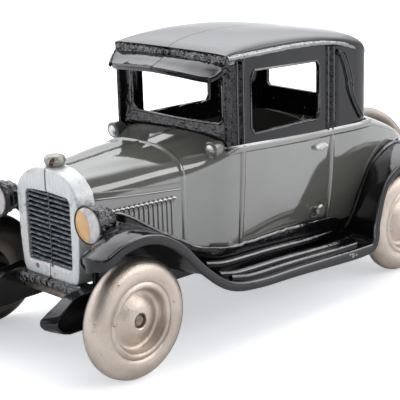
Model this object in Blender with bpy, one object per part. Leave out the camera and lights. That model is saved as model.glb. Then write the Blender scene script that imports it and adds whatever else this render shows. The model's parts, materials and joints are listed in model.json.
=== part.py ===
"""Cast iron toy coupe: painted half castings, lamps, cross rivets, axles and plain cast wheels.

Metres, +X forward, +Y to the car's left, +Z up. The origin is on the floor under the middle of the
car. Body outlines are written from a point on the floor under the front axle.
"""

import math

import bmesh
import bpy

# Wheels and axles
WHEEL_RADIUS = 0.022
WHEELBASE = 0.155
TYRE_HALF_WIDTH = 0.005
TYRE_OFFSET = 0.0419
RIM_RADIUS = 0.0122
BOSS_RADIUS = 0.0075
WEB_THICKNESS = 0.0022
AXLE_RADIUS = 0.0018
AXLE_PLAY = 0.0003
AXLE_LINE = 0.022
HEAD_RADIUS = 0.0024
HEAD_DEPTH = 0.001
SPARE_CENTRE_Z = 0.0385

# Castings
WALL = 0.0022
THIN_WALL = 0.0016
JOINT_GAP = 0.0003
SEAM_GAP = 0.0003
BELT_HEIGHT = 0.0665
WINDSHIELD_X = -0.0633
CAB_REAR_X = -0.147
DECK_END_X = -0.1825

SHOULDER_POWER = 2.6
ROOF_POWER = 3.0

# Cab: roof edge above the belt, and windows between the belt and the roof edge
ROOF_EDGE_RISE = 0.038
ROOF_EDGE_Z = BELT_HEIGHT + ROOF_EDGE_RISE
DOOR_WINDOW_FRONT = -0.0738
DOOR_WINDOW_REAR = -0.1155
DOOR_WINDOW_SILL = BELT_HEIGHT + 0.0062
DOOR_WINDOW_TOP = ROOF_EDGE_Z - 0.0077
WINDSHIELD_SILL = BELT_HEIGHT + 0.0112
WINDSHIELD_TOP = ROOF_EDGE_Z - 0.008
WINDSHIELD_HALF_WIDTH = 0.0255
REAR_WINDOW_SILL = BELT_HEIGHT + 0.0105
REAR_WINDOW_TOP = ROOF_EDGE_Z - 0.0145
REAR_WINDOW_HALF_WIDTH = 0.012

# Radiator
RADIATOR_FRONT_X = 0.0027
RADIATOR_DEPTH = 0.0077
RADIATOR_BOTTOM = 0.0285
RADIATOR_TOP = 0.0695
RADIATOR_HALF_WIDTH = 0.0173
GRILLE_BOTTOM = 0.0343
GRILLE_TOP = 0.0605
GRILLE_HALF_WIDTH = 0.0127
GRILLE_DEPTH = 0.0012
SLAT_COUNT = 15
CAP_RADIUS = 0.0046
CAP_HEIGHT = 0.0046
CAP_X = -0.0023

# Lamps
LAMP_RADIUS = 0.0069
LAMP_FRONT_X = 0.0067
LAMP_LENGTH = 0.0105
LAMP_Y = 0.0267
LAMP_Z = 0.0541
COWL_LAMP_RADIUS = 0.0026
COWL_LAMP_LENGTH = 0.0065
COWL_LAMP_X = -0.0585
COWL_LAMP_Y = 0.0255
COWL_LAMP_PITCH = 18
COWL_LAMP_LIFT = 0.0009

# Fenders and running boards
LIP_Y = 0.0493
LIP_DEPTH = 0.0032
FENDER_CROWN = 0.0012
RIM_HEIGHT = 0.0006
FIT_ALLOWANCE = 0.0002
BOARD_FRONT_Z = 0.0226
BOARD_REAR_Z = 0.018
BOARD_END_X = -WHEELBASE + WHEEL_RADIUS + 0.0048
BOARD_LIP = [(-0.0430, BOARD_FRONT_Z + 0.0024), (-0.0580, BOARD_FRONT_Z),
             (BOARD_END_X + 0.007, BOARD_REAR_Z), (BOARD_END_X, BOARD_REAR_Z + 0.0018)]
BOARD_INNER = BOARD_LIP[:3] + [(BOARD_END_X - 0.0028, BOARD_REAR_Z + 0.0018)]
BOARD_INNER_Y = [0.0236, 0.0286, 0.0292, 0.0294]
RIB_COUNT = 3
RIB_FRONT_X = -0.06
RIB_REAR_X = BOARD_END_X + 0.0092
RIB_INNER_Y = 0.0335
RIB_HEIGHT = 0.0008
RIB_WIDTH = 0.0012

# Frame
PLATE_Y = 0.0189
PLATE_THICKNESS = 0.0022
PLATE_BOTTOM = 0.0155
HORN_TIP_X = 0.0231
HORN_WIDTH = 0.0046
APRON_BOTTOM = 0.024
APRON_RISE = 0.0008
APRON_FRONT_X = 0.0042
APRON_BACK_X = -0.0045
AXLE_BOSS_ROOT = 0.006
AXLE_BOSS_TIP = 0.0038
AXLE_PAD = 0.006
PLATE_END_X = DECK_END_X + WALL + JOINT_GAP
APRON_TOP = 0.0284
PLATE_OUTLINE = [
    (APRON_FRONT_X, APRON_TOP), (-0.0052, APRON_TOP), (-0.0068, 0.0450), (-0.0150, 0.0425),
    (-0.0300, 0.0300), (-0.0420, 0.0270), (-WHEELBASE + WHEEL_RADIUS, 0.0240), (-WHEELBASE + 0.014, 0.0400),
    (-WHEELBASE - 0.012, 0.0430), (PLATE_END_X, 0.0400), (PLATE_END_X, 0.0200),
    (-WHEELBASE - AXLE_PAD, PLATE_BOTTOM), (-WHEELBASE + AXLE_PAD, PLATE_BOTTOM),
    (-WHEELBASE + 0.016, 0.0180), (-0.0300, 0.0200), (-AXLE_PAD, PLATE_BOTTOM),
    (APRON_FRONT_X, PLATE_BOTTOM),
]
HORN_OUTLINE = [
    (-0.0020, 0.0160), (0.0090, 0.0152), (0.0175, 0.0153), (0.0210, 0.0164), (0.0228, 0.0190),
    (HORN_TIP_X, 0.0215), (0.0220, 0.0232), (0.0110, 0.0282), (-0.0020, 0.0290),
]

# Cross rivets
RIVET_RADIUS = 0.0015
RIVET_HEAD_RADIUS = 0.0026
RIVET_HEAD_HEIGHT = 0.0009
BODY_RIVET_X = -0.114
BODY_RIVET_Z = 0.0335
FRAME_RIVET_X = -0.026
FRAME_RIVET_Z = 0.0245

WHEEL_STEPS = 32
SMALL_STEPS = 16
MERGE = 1e-6
SIDES = {"left": 1, "right": -1}

NOSE_INNER_Y = LAMP_Y + LAMP_RADIUS + JOINT_GAP + THIN_WALL
SPARE_CENTRE_X = DECK_END_X - TYRE_HALF_WIDTH - 2 * JOINT_GAP
CAR_MIDDLE_X = (HORN_TIP_X + SPARE_CENTRE_X - TYRE_HALF_WIDTH) / 2

# Fender curves round each wheel: angle round the axle in degrees, gap from the tyre to the lip,
# extra gap at the inner edge, distance of the inner edge from the centre line
FRONT_ARCH = [
    (57, 0.0101, -0.0012, NOSE_INNER_Y),
    (73, 0.0100, -0.0009, NOSE_INNER_Y),
    (89, 0.0094, -0.0004, NOSE_INNER_Y),
    (101, 0.0089, 0.0, 0.0315),
    (112, 0.0084, 0.0, 0.0187),
    (130, 0.0078, 0.0, 0.0197),
    (160, 0.0110, 0.0, 0.0214),
]
REAR_ARCH = [
    (14, 0.0044, -0.0066, 0.0302),
    (48, 0.0067, -0.0076, 0.0308),
    (76, 0.0067, -0.0020, 0.0310),
    (105, 0.0061, 0.0040, 0.0322),
    (134, 0.0052, 0.0062, 0.0308),
    (165, 0.0036, 0.0022, 0.0276),
]

# Lower edge of the body casting ahead of the rear fender, as (x, height)
SILL_LINE = [(-0.005, 0.0545), (-0.044, 0.0348), (-0.053, 0.0314), (-0.066, 0.0298),
             (-0.134, 0.0258)]
DECK_SIDE_X = -0.1715
DECK_BOTTOM = 0.027

# Body stations: x, half width, top height, depth of the rounded shoulder, turn-under at the sill
BODY_STATIONS = [
    (-0.0053, 0.0168, 0.0690, 0.0145, 0.0),
    (-0.0180, 0.0192, 0.0698, 0.0135, 0.0),
    (-0.0310, 0.0214, 0.0708, 0.0130, 0.0),
    (-0.0440, 0.0233, 0.0713, 0.0125, 0.0),
    (-0.0540, 0.0266, 0.0722, 0.0100, 0.0008),
    (-0.0605, 0.0297, 0.0730, 0.0072, 0.0014),
    (-0.0630, 0.0307, 0.0732, 0.0060, 0.0016),
    (-0.0633, 0.0308, BELT_HEIGHT, 0.0006, 0.0016),
    (-0.0700, 0.0316, BELT_HEIGHT, 0.0006, 0.0025),
    (-0.1000, 0.0318, BELT_HEIGHT, 0.0006, 0.0025),
    (-0.1340, 0.0316, BELT_HEIGHT, 0.0006, 0.0018),
    (-0.1400, 0.0313, BELT_HEIGHT, 0.0006, 0.0007),
    (CAB_REAR_X - 0.0003, 0.0308, BELT_HEIGHT, 0.0006, 0.0),
    (CAB_REAR_X - 0.0006, 0.0308, 0.0690, 0.0060, 0.0),
    (-0.1580, 0.0302, 0.0655, 0.0060, 0.0),
    (-0.1710, 0.0286, 0.0598, 0.0055, 0.0),
    (-0.1725, 0.0283, 0.0590, 0.0055, 0.0),
    (-0.1785, 0.0262, 0.0545, 0.0060, 0.0),
    (-0.1815, 0.0244, 0.0500, 0.0060, 0.0),
    (DECK_END_X, 0.0230, 0.0460, 0.0050, 0.0),
]

# Cab stations: x, half width, roof height, depth of the rounded edge
CAB_STATIONS = [
    (WINDSHIELD_X - 0.0003, 0.0308, ROOF_EDGE_Z + 0.0024, 0.0050),
    (-0.0720, 0.0313, ROOF_EDGE_Z + 0.0038, 0.0060),
    (-0.0890, 0.0316, ROOF_EDGE_Z + 0.0048, 0.0070),
    (-0.1120, 0.0316, ROOF_EDGE_Z + 0.0043, 0.0070),
    (-0.1300, 0.0315, ROOF_EDGE_Z + 0.0026, 0.0075),
    (-0.1400, 0.0311, ROOF_EDGE_Z + 0.0004, 0.0080),
    (-0.1450, 0.0300, ROOF_EDGE_Z - 0.0028, 0.0090),
    (CAB_REAR_X, 0.0282, ROOF_EDGE_Z - 0.0085, 0.0090),
]

# Brow and sun visor sections: y, then (x, height above the roof edge) from the roof over the roof's
# front edge and down the visor to its tip, and back under it
VISOR_SECTIONS = [
    (SEAM_GAP / 2, [(-0.0650, 0.0018), (-0.0618, 0.0017), (-0.0603, 0.0006), (-0.0598, -0.0009),
                    (-0.0584, -0.0023), (-0.0508, -0.0061), (-0.0512, -0.0074), (-0.0590, -0.0043),
                    (-0.0650, -0.0048)]),
    (0.0150, [(-0.0650, 0.0016), (-0.0620, 0.0015), (-0.0606, 0.0004), (-0.0600, -0.0011),
              (-0.0587, -0.0026), (-0.0520, -0.0070), (-0.0524, -0.0083), (-0.0593, -0.0046),
              (-0.0650, -0.0048)]),
    (0.0280, [(-0.0650, 0.0007), (-0.0624, 0.0006), (-0.0614, -0.0002), (-0.0607, -0.0018),
              (-0.0595, -0.0034), (-0.0538, -0.0085), (-0.0542, -0.0098), (-0.0600, -0.0058),
              (-0.0650, -0.0060)]),
    (0.0306, [(-0.0650, -0.0004), (-0.0632, -0.0004), (-0.0622, -0.0010), (-0.0617, -0.0024),
              (-0.0612, -0.0038), (-0.0588, -0.0056), (-0.0591, -0.0068), (-0.0616, -0.0056),
              (-0.0650, -0.0060)]),
]


def paint(name, colour, roughness, metallic):
    """Principled material with a linear base colour."""
    material = bpy.data.materials.new(name)
    material.use_nodes = True
    shader = material.node_tree.nodes["Principled BSDF"]
    shader.inputs["Base Color"].default_value = (*colour, 1.0)
    shader.inputs["Roughness"].default_value = roughness
    shader.inputs["Metallic"].default_value = metallic
    material.diffuse_color = (*colour, 1.0)
    return material


def at_x(table, x, column=1):
    """Value at x in a table of rows whose x falls from row to row."""
    for first, second in zip(table, table[1:]):
        if second[0] <= x <= first[0]:
            share = (first[0] - x) / (first[0] - second[0])
            return first[column] + share * (second[column] - first[column])
    return table[0][column] if x > table[0][0] else table[-1][column]


def rear_fender_top():
    """Line just above the inner edge of the rear fender, which the body casting sits on."""
    inner = fender_lines()[1]
    clearance = RIM_HEIGHT + JOINT_GAP + FIT_ALLOWANCE
    line = []
    for i, point in enumerate(inner):
        normal = normal_at(inner, i)
        x, z = (p + n * clearance for p, n in zip(point, normal))
        if SILL_LINE[-1][0] > x > DECK_SIDE_X:
            line.append((x, z))
    return line


def sill_line():
    """Lower edge of the body casting from the radiator to the back panel, as (x, height)."""
    rear = rear_fender_top()
    below_deck = DECK_SIDE_X - 0.0015
    return SILL_LINE + rear + [(DECK_SIDE_X, rear[-1][1]), (below_deck, DECK_BOTTOM),
                               (DECK_END_X, DECK_BOTTOM)]


def body_rows():
    """Body stations with more of them wherever the sill bends: x, width, top, depth, turn, sill."""
    line = sill_line()
    marks = sorted({row[0] for row in BODY_STATIONS} | {x for x, _ in line[1:-1]}, reverse=True)
    rows = []
    for x in marks:
        if rows and rows[-1][0] - x < MERGE:
            continue
        values = [at_x(BODY_STATIONS, x, column) for column in range(1, 5)]
        rows.append((x, *values, at_x(line, x)))
    return rows


def shoulder(half_width, top, depth, steps=6, power=SHOULDER_POWER):
    """Rounded half outline from the top centre out to the side, as (y, z) pairs."""
    points = []
    for step in range(1, steps + 1):
        angle = step / steps * math.pi / 2
        across = half_width * math.sin(angle) ** (2 / power)
        points.append((across, top - depth + depth * max(math.cos(angle), 0.0) ** (2 / power)))
    return points


def add_loft(bm, rings):
    """Skin rings of equal length into one closed body."""
    loops = [[bm.verts.new(point) for point in ring] for ring in rings]
    count = len(loops[0])
    for first, second in zip(loops, loops[1:]):
        for i in range(count):
            j = (i + 1) % count
            bm.faces.new((first[i], first[j], second[j], second[i]))
    bm.faces.new(loops[0])
    bm.faces.new(loops[-1])
    bmesh.ops.recalc_face_normals(bm, faces=bm.faces)


def lofted(rings):
    bm = bmesh.new()
    add_loft(bm, rings)
    return bm


def extruded(outline, start, end, axis="Y"):
    """Closed body from an outline of pairs, pushed along Y (x, z pairs) or X (y, z pairs)."""
    if axis == "Y":
        rings = [[(x, at, z) for x, z in outline] for at in (start, end)]
    else:
        rings = [[(at, y, z) for y, z in outline] for at in (start, end)]
    return lofted(rings)


def boxed(x0, x1, y0, y1, z0, z1):
    return extruded([(x0, z0), (x1, z0), (x1, z1), (x0, z1)], y0, y1)


def turned(profile, closed=False, steps=SMALL_STEPS):
    """Turn a profile of (radius, height) about the Z axis into a closed body."""
    bm = bmesh.new()
    verts = [bm.verts.new((radius, 0, height)) for radius, height in profile]
    edges = [bm.edges.new(pair) for pair in zip(verts, verts[1:])]
    if closed:
        edges.append(bm.edges.new((verts[-1], verts[0])))
    full_turn = 2 * math.pi
    bmesh.ops.spin(bm, geom=verts + edges, axis=(0, 0, 1), angle=full_turn, steps=steps, use_merge=True)
    bmesh.ops.remove_doubles(bm, verts=bm.verts, dist=MERGE)
    bmesh.ops.recalc_face_normals(bm, faces=bm.faces)
    return bm


def place(name, bm, material, location=(0, 0, 0), rotation=(0, 0, 0)):
    """Put a body in the car under its node name."""
    mesh = bpy.data.meshes.new(name)
    bm.to_mesh(mesh)
    bm.free()
    mesh.shade_smooth()
    mesh.set_sharp_from_angle(angle=math.radians(35))
    mesh.materials.append(material)
    item = bpy.data.objects.new(name, mesh)
    item.location = location
    item.rotation_euler = rotation
    item.parent = car
    bpy.context.collection.objects.link(item)
    return item


def tool(name, bm, location=(0, 0, 0), rotation=(0, 0, 0)):
    """A shape used only to cut or to add, never seen itself."""
    item = place(name, bm, tool_paint, location, rotation)
    item.hide_render = True
    item.display_type = "WIRE"
    return item


def combine(target, operation, *others, solver="EXACT"):
    for other in others:
        modifier = target.modifiers.new(other.name, "BOOLEAN")
        modifier.operation = operation
        modifier.solver = solver
        modifier.object = other
    return target


def cut(target, *cutters, solver="EXACT"):
    return combine(target, "DIFFERENCE", *cutters, solver=solver)


def join(target, *others):
    return combine(target, "UNION", *others)


def half_ring(x, outline, bottom_y, bottom_z, side):
    """Half section at x: seam top, rounded shoulder, side, lower edge, seam bottom."""
    seam = SEAM_GAP / 2
    points = [(x, side * seam, outline[0][1] + 0.0002)]
    points += [(x, side * y, z) for y, z in outline]
    points += [(x, side * bottom_y, bottom_z), (x, side * seam, bottom_z)]
    return points


def full_ring(x, outline, bottom_y, bottom_z):
    """Whole section at x, used for the hollow inside both halves."""
    half = outline + [(bottom_y, bottom_z)]
    return [(x, y, z) for y, z in half] + [(x, -y, z) for y, z in reversed(half)]


# Body castings: hood, cowl, doors, quarters and deck
def make_body(side_name, side, cutters):
    rings = []
    for x, half_width, top, depth, turn_under, low in body_rows():
        outline = shoulder(half_width, top, depth)
        rings.append(half_ring(x, outline, half_width - turn_under, low, side))
    body = place(f"body_half_{side_name}", lofted(rings), grey_enamel)
    return cut(body, *cutters)


def body_hollow():
    """Inside of the body, open below everywhere and open above within the cab."""
    above = 0.01
    below = 0.012
    rows = [row for row in body_rows() if row[0] > DECK_END_X + WALL]
    rows.append((DECK_END_X + WALL, *rows[-1][1:]))
    rings = []
    for index, (x, half_width, top, depth, turn_under, low) in enumerate(rows):
        in_cab = top == BELT_HEIGHT
        roof = top + above if in_cab else top - WALL
        if index == 0:
            x -= WALL
        outline = shoulder(half_width - WALL, roof, max(depth - WALL / 2, 0.0004))
        rings.append(full_ring(x, outline, half_width - turn_under - WALL, low - below))
    return tool("body_hollow", lofted(rings))


# Cab castings: roof, posts, rear wall and visor
def make_cab(side_name, side, cutters):
    rings = []
    for x, half_width, top, depth in CAB_STATIONS:
        outline = shoulder(half_width, top, depth, power=ROOF_POWER)
        rings.append(half_ring(x, outline, half_width + 0.0004, BELT_HEIGHT + JOINT_GAP, side))
    cab = place(f"cab_half_{side_name}", lofted(rings), black_enamel)
    return join(cut(cab, *cutters), make_visor(side_name, side))


def cab_hollow():
    below = 0.01
    back_x = CAB_REAR_X + WALL
    rows = [row for row in CAB_STATIONS if row[0] > back_x]
    rows.append((back_x, *[at_x(CAB_STATIONS, back_x, column) for column in (1, 2, 3)]))
    rings = []
    for index, (x, half_width, top, depth) in enumerate(rows):
        if index == 0:
            x -= WALL
        outline = shoulder(half_width - WALL, top - WALL, depth - WALL / 2, power=ROOF_POWER)
        rings.append(full_ring(x, outline, half_width - WALL, BELT_HEIGHT - below))
    return tool("cab_hollow", lofted(rings))


def make_visor(side_name, side):
    """Front edge of the roof and the sun visor below it, with a clipped outer corner."""
    rings = [[(x, side * y, ROOF_EDGE_Z + rise) for x, rise in section] for y, section in VISOR_SECTIONS]
    return tool(f"visor_{side_name}", lofted(rings))


def window_cutters():
    outer = 0.04
    beyond = 0.006
    door = tool("door_window", boxed(DOOR_WINDOW_REAR, DOOR_WINDOW_FRONT, -outer, outer,
                                     DOOR_WINDOW_SILL, DOOR_WINDOW_TOP))
    front = tool("windshield", boxed(WINDSHIELD_X - beyond, WINDSHIELD_X + beyond / 2,
                                     -WINDSHIELD_HALF_WIDTH, WINDSHIELD_HALF_WIDTH,
                                     WINDSHIELD_SILL, WINDSHIELD_TOP))
    rear = tool("rear_window", boxed(CAB_REAR_X - beyond, CAB_REAR_X + beyond,
                                     -REAR_WINDOW_HALF_WIDTH, REAR_WINDOW_HALF_WIDTH,
                                     REAR_WINDOW_SILL, REAR_WINDOW_TOP))
    return door, front, rear


# Fender castings: front fender, running board, splash apron and rear fender
def arch(axle_x, rows):
    """Lip points and inner edge points round one wheel, as (x, z) pairs."""
    lip, inner = [], []
    for angle, gap, extra, _ in rows:
        cosine, sine = math.cos(math.radians(angle)), math.sin(math.radians(angle))
        reach = WHEEL_RADIUS + gap
        lip.append((axle_x + reach * cosine, AXLE_LINE + reach * sine))
        reach += extra
        inner.append((axle_x + reach * cosine, AXLE_LINE + reach * sine))
    return lip, inner


def smooth_line(points, steps):
    """Points on a smooth curve through the given ones, spaced evenly between each pair."""
    def slope(i):
        if i == 0 or i == len(points) - 1:
            a, b = (points[0], points[1]) if i == 0 else (points[-2], points[-1])
            return [(q - p) / math.dist(a, b) for p, q in zip(a, b)]
        before, after = math.dist(points[i - 1], points[i]), math.dist(points[i], points[i + 1])
        return [((r - q) / after * before + (q - p) / before * after) / (before + after)
                for p, q, r in zip(points[i - 1], points[i], points[i + 1])]

    line = []
    for i in range(len(points) - 1):
        length = math.dist(points[i], points[i + 1])
        for step in range(steps):
            t = step / steps
            weights = (2 * t**3 - 3 * t**2 + 1, t**3 - 2 * t**2 + t, 3 * t**2 - 2 * t**3, t**3 - t**2)
            line.append(tuple(
                weights[0] * p + weights[1] * length * m + weights[2] * q + weights[3] * length * n
                for p, m, q, n in zip(points[i], slope(i), points[i + 1], slope(i + 1))))
    line.append(tuple(points[-1]))
    return line


def fender_lines(steps=3):
    """Matched lines of lip (x, z), inner edge (x, z) and inner distance from the centre line."""
    front_lip, front_inner = arch(0.0, FRONT_ARCH)
    rear_lip, rear_inner = arch(-WHEELBASE, REAR_ARCH)
    distances = [row[3] for row in FRONT_ARCH] + BOARD_INNER_Y + [row[3] for row in REAR_ARCH]
    lip = smooth_line(front_lip + BOARD_LIP + rear_lip, steps)
    inner = smooth_line(front_inner + BOARD_INNER + rear_inner, steps)
    across = smooth_line([(i * 0.01, y) for i, y in enumerate(distances)], steps)
    return lip, inner, [y for _, y in across]


def normal_at(line, i):
    """Unit normal of an (x, z) line that runs backward, pointing away from the wheels."""
    a, b = line[max(i - 1, 0)], line[min(i + 1, len(line) - 1)]
    length = math.dist(a, b)
    return (b[1] - a[1]) / length, (a[0] - b[0]) / length


def fender_ring(lip, inner, inner_y, normal, inner_normal, side, lip_y=LIP_Y, floor=THIN_WALL):
    """One section of the fender, from the lip over the crown to the apron and back below."""
    def shift(point, direction, amount):
        return point[0] + direction[0] * amount, point[1] + direction[1] * amount

    def between(share, lift):
        x, z = (a + (b - a) * share for a, b in zip(lip, inner))
        return shift((x, z), normal, lift)

    apron_top = shift(inner, inner_normal, RIM_HEIGHT)
    seat = at_x(SILL_LINE, inner[0]) - JOINT_GAP - FIT_ALLOWANCE
    along_body = SILL_LINE[-1][0] < inner[0] < -0.0095
    if along_body and seat > apron_top[1]:
        apron_top = (inner[0], seat)
    apron_y = inner_y - THIN_WALL
    outer, middle = (lip_y + (inner_y - lip_y) * share for share in (0.3, 0.7))
    section = [
        (lip_y, shift(lip, normal, -LIP_DEPTH)),
        (lip_y, lip),
        (outer, between(0.3, FENDER_CROWN)),
        (middle, between(0.7, FENDER_CROWN)),
        (inner_y, inner),
        (inner_y, apron_top),
        (apron_y, apron_top),
        (apron_y, shift(inner, inner_normal, -floor)),
        (middle, between(0.7, FENDER_CROWN - floor)),
        (outer, between(0.3, FENDER_CROWN - floor)),
        (lip_y - THIN_WALL, shift(lip, normal, -floor)),
        (lip_y - THIN_WALL, shift(lip, normal, -LIP_DEPTH)),
    ]
    return [(x, side * y, z) for y, (x, z) in section]


def nose_rings(lip, inner, inner_y, side):
    """Front end of the fender: a turned-down band that rounds the outer corner."""
    length = math.dist(lip[0], lip[1])
    deep = LIP_DEPTH * 0.98
    rings = []
    for behind, narrow, floor in ((0.0, 0.0022, deep), (0.0007, 0.0008, deep), (THIN_WALL, 0.0002, deep),
                                  (THIN_WALL + 0.0002, 0.0, THIN_WALL)):
        share = behind / length
        points = [tuple(a + (b - a) * share for a, b in zip(line[0], line[1])) for line in (lip, inner)]
        rings.append(fender_ring(*points, inner_y, normal_at(lip, 0), normal_at(inner, 0), side,
                                 LIP_Y - narrow, floor))
    return rings


def make_fender(side_name, side):
    lip, inner, across = fender_lines()
    rings = nose_rings(lip, inner, across[0], side)
    rings += [fender_ring(lip[i], inner[i], across[i], normal_at(lip, i), normal_at(inner, i), side)
              for i in range(1, len(lip))]
    fender = place(f"fender_{side_name}", lofted(rings), black_enamel)
    return join(fender, *board_ribs(side_name, side))


def board_ribs(side_name, side):
    """Lengthwise tread ribs that stand out of the running board."""
    slope = (BOARD_FRONT_Z - BOARD_REAR_Z) / (RIB_FRONT_X - RIB_REAR_X)
    pitch = (LIP_Y - 0.0035 - RIB_INNER_Y) / (RIB_COUNT - 1)
    ribs = []
    for index in range(RIB_COUNT):
        y = RIB_INNER_Y + index * pitch
        outline = []
        for x, lift in ((RIB_FRONT_X, FENDER_CROWN + RIB_HEIGHT), (RIB_REAR_X, FENDER_CROWN + RIB_HEIGHT),
                        (RIB_REAR_X, 0.0), (RIB_FRONT_X, 0.0)):
            outline.append((x, BOARD_FRONT_Z + (x - RIB_FRONT_X) * slope + lift))
        start, end = sorted((side * (y - RIB_WIDTH / 2), side * (y + RIB_WIDTH / 2)))
        ribs.append(tool(f"board_rib_{side_name}_{index}", extruded(outline, start, end)))
    return ribs


# Frame castings: front apron, spring horn, side plate and axle bosses
def make_frame(side_name, side, cutters):
    inner, outer = PLATE_Y - PLATE_THICKNESS / 2, PLATE_Y + PLATE_THICKNESS / 2
    plate = place(f"frame_half_{side_name}",
                  extruded(PLATE_OUTLINE, side * inner, side * outer), black_enamel)
    horn = tool(f"horn_{side_name}",
                extruded(HORN_OUTLINE, side * (inner + 0.0005), side * (inner + 0.001 + HORN_WIDTH)))
    apron_outline = [(SEAM_GAP / 2, APRON_BOTTOM + APRON_RISE), (0.0100, APRON_BOTTOM),
                     (PLATE_Y, APRON_BOTTOM), (PLATE_Y, RADIATOR_BOTTOM - JOINT_GAP),
                     (SEAM_GAP / 2, RADIATOR_BOTTOM - JOINT_GAP)]
    apron_outline = [(side * y, z) for y, z in apron_outline]
    apron = tool(f"apron_{side_name}", extruded(apron_outline, APRON_BACK_X, APRON_FRONT_X, "X"))
    bosses = []
    boss_root = inner + 0.0004
    boss_length = TYRE_OFFSET - TYRE_HALF_WIDTH - JOINT_GAP - boss_root
    for place_name, x in (("front", 0.0), ("rear", -WHEELBASE)):
        profile = [(0.0, 0.0), (AXLE_BOSS_ROOT, 0.0), (AXLE_BOSS_ROOT, PLATE_THICKNESS),
                   (AXLE_BOSS_TIP, PLATE_THICKNESS + 0.004), (AXLE_BOSS_TIP, boss_length),
                   (0.0, boss_length)]
        bosses.append(tool(f"boss_{place_name}_{side_name}", turned(profile),
                           (x, side * boss_root, AXLE_LINE), (-side * math.pi / 2, 0, 0)))
    return cut(join(plate, horn, apron, *bosses), *cutters, solver="MANIFOLD")


def bar(radius, half_length, steps=SMALL_STEPS):
    return turned([(0, -half_length), (radius, -half_length), (radius, half_length), (0, half_length)],
                  steps=steps)


def cross_hole(name, radius, x, z, half_length=0.05):
    return tool(name, bar(radius, half_length), (x, 0, z), (math.pi / 2, 0, 0))


# Radiator castings: shell, slats and hollow back
def radiator_outline(inset, bottom=RADIATOR_BOTTOM):
    """Half outline from the seam top round to the seam bottom, as (y, z) pairs."""
    corner = 0.0025
    half_width = RADIATOR_HALF_WIDTH - inset
    low = bottom + inset
    points = shoulder(half_width, RADIATOR_TOP - inset, 0.0145 - inset)
    points.append((half_width, low + corner))
    points.append((half_width - corner * 0.3, low + corner * 0.3))
    points.append((half_width - corner, low))
    return points


def make_radiator(side_name, side, cutters):
    back_x = RADIATOR_FRONT_X - RADIATOR_DEPTH
    rings = []
    for x, inset in ((RADIATOR_FRONT_X, 0.0006), (RADIATOR_FRONT_X - 0.0006, 0.0), (back_x, 0.0)):
        outline = radiator_outline(inset)
        seam = SEAM_GAP / 2
        ring = [(seam, outline[0][1] + 0.0002)] + outline + [(seam, outline[-1][1])]
        rings.append([(x, side * y, z) for y, z in ring])
    shell = place(f"radiator_half_{side_name}", lofted(rings), aluminium_paint)
    return join(cut(shell, *cutters), make_slats(side_name, side))


def radiator_cutters():
    back_x = RADIATOR_FRONT_X - RADIATOR_DEPTH
    floor_x = RADIATOR_FRONT_X - GRILLE_DEPTH - THIN_WALL
    half = radiator_outline(WALL)
    outline = half + [(-y, z) for y, z in reversed(half)]
    hollow = tool("radiator_hollow", extruded(outline, back_x - 0.001, floor_x, "X"))
    corner = 0.002
    grille = [(GRILLE_HALF_WIDTH - corner, GRILLE_TOP), (GRILLE_HALF_WIDTH, GRILLE_TOP - corner),
              (GRILLE_HALF_WIDTH, GRILLE_BOTTOM)]
    grille += [(-y, z) for y, z in reversed(grille)]
    recess = tool("grille_recess", extruded(grille, RADIATOR_FRONT_X - GRILLE_DEPTH,
                                            RADIATOR_FRONT_X + 0.001, "X"))
    return hollow, recess


def make_slats(side_name, side):
    """One comb of slats: a sawtooth profile pushed across half the grille."""
    floor_x = RADIATOR_FRONT_X - GRILLE_DEPTH
    tip_x = RADIATOR_FRONT_X - 0.0003
    pitch = (GRILLE_TOP - GRILLE_BOTTOM - 0.0012) / SLAT_COUNT
    comb = [(floor_x - 0.0008, GRILLE_BOTTOM + 0.0002)]
    for index in range(SLAT_COUNT):
        low = GRILLE_BOTTOM + 0.0006 + index * pitch
        comb += [(floor_x - 0.0002, low), (tip_x, low + pitch * 0.25), (tip_x, low + pitch * 0.55),
                 (floor_x - 0.0002, low + pitch * 0.8)]
    comb.append((floor_x - 0.0008, GRILLE_TOP - 0.0002))
    start, end = side * (SEAM_GAP / 2 + 0.0001), side * (GRILLE_HALF_WIDTH - 0.0007)
    return tool(f"slats_{side_name}", extruded(comb, start, end))


def make_radiator_cap():
    low = RADIATOR_TOP + JOINT_GAP
    profile = [(0, 0), (CAP_RADIUS * 0.8, 0), (CAP_RADIUS, CAP_HEIGHT * 0.2),
               (CAP_RADIUS, CAP_HEIGHT * 0.75), (CAP_RADIUS * 0.75, CAP_HEIGHT), (0, CAP_HEIGHT)]
    place("radiator_cap", turned(profile, steps=12), nickel,
          (CAP_X, 0, low))


# Headlamps: bucket, lens and the bar to the radiator
def make_headlamp(side_name, side):
    radius, length = LAMP_RADIUS, LAMP_LENGTH
    profile = [(0, 0), (radius * 0.82, 0), (radius * 0.9, 0.0004), (radius, 0.0004), (radius, 0.002),
               (radius * 0.93, length * 0.4), (radius * 0.72, length * 0.7),
               (radius * 0.4, length * 0.93), (0, length)]
    lamp = place(f"headlamp_{side_name}", turned(profile, steps=24), black_enamel,
                 (LAMP_FRONT_X, side * LAMP_Y, LAMP_Z), (0, -math.pi / 2, 0))
    inner_y, outer_y = RADIATOR_HALF_WIDTH + JOINT_GAP, LAMP_Y - radius * 0.6
    back_x = RADIATOR_FRONT_X - RADIATOR_DEPTH
    stay = [(back_x + 0.0008, LAMP_Z - 0.001), (RADIATOR_FRONT_X - 0.001, LAMP_Z - 0.001),
            (RADIATOR_FRONT_X - 0.001, LAMP_Z + 0.0035), (back_x + 0.0008, LAMP_Z + 0.0035)]
    return join(lamp, tool(f"lamp_stay_{side_name}", extruded(stay, side * inner_y, side * outer_y)))


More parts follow.
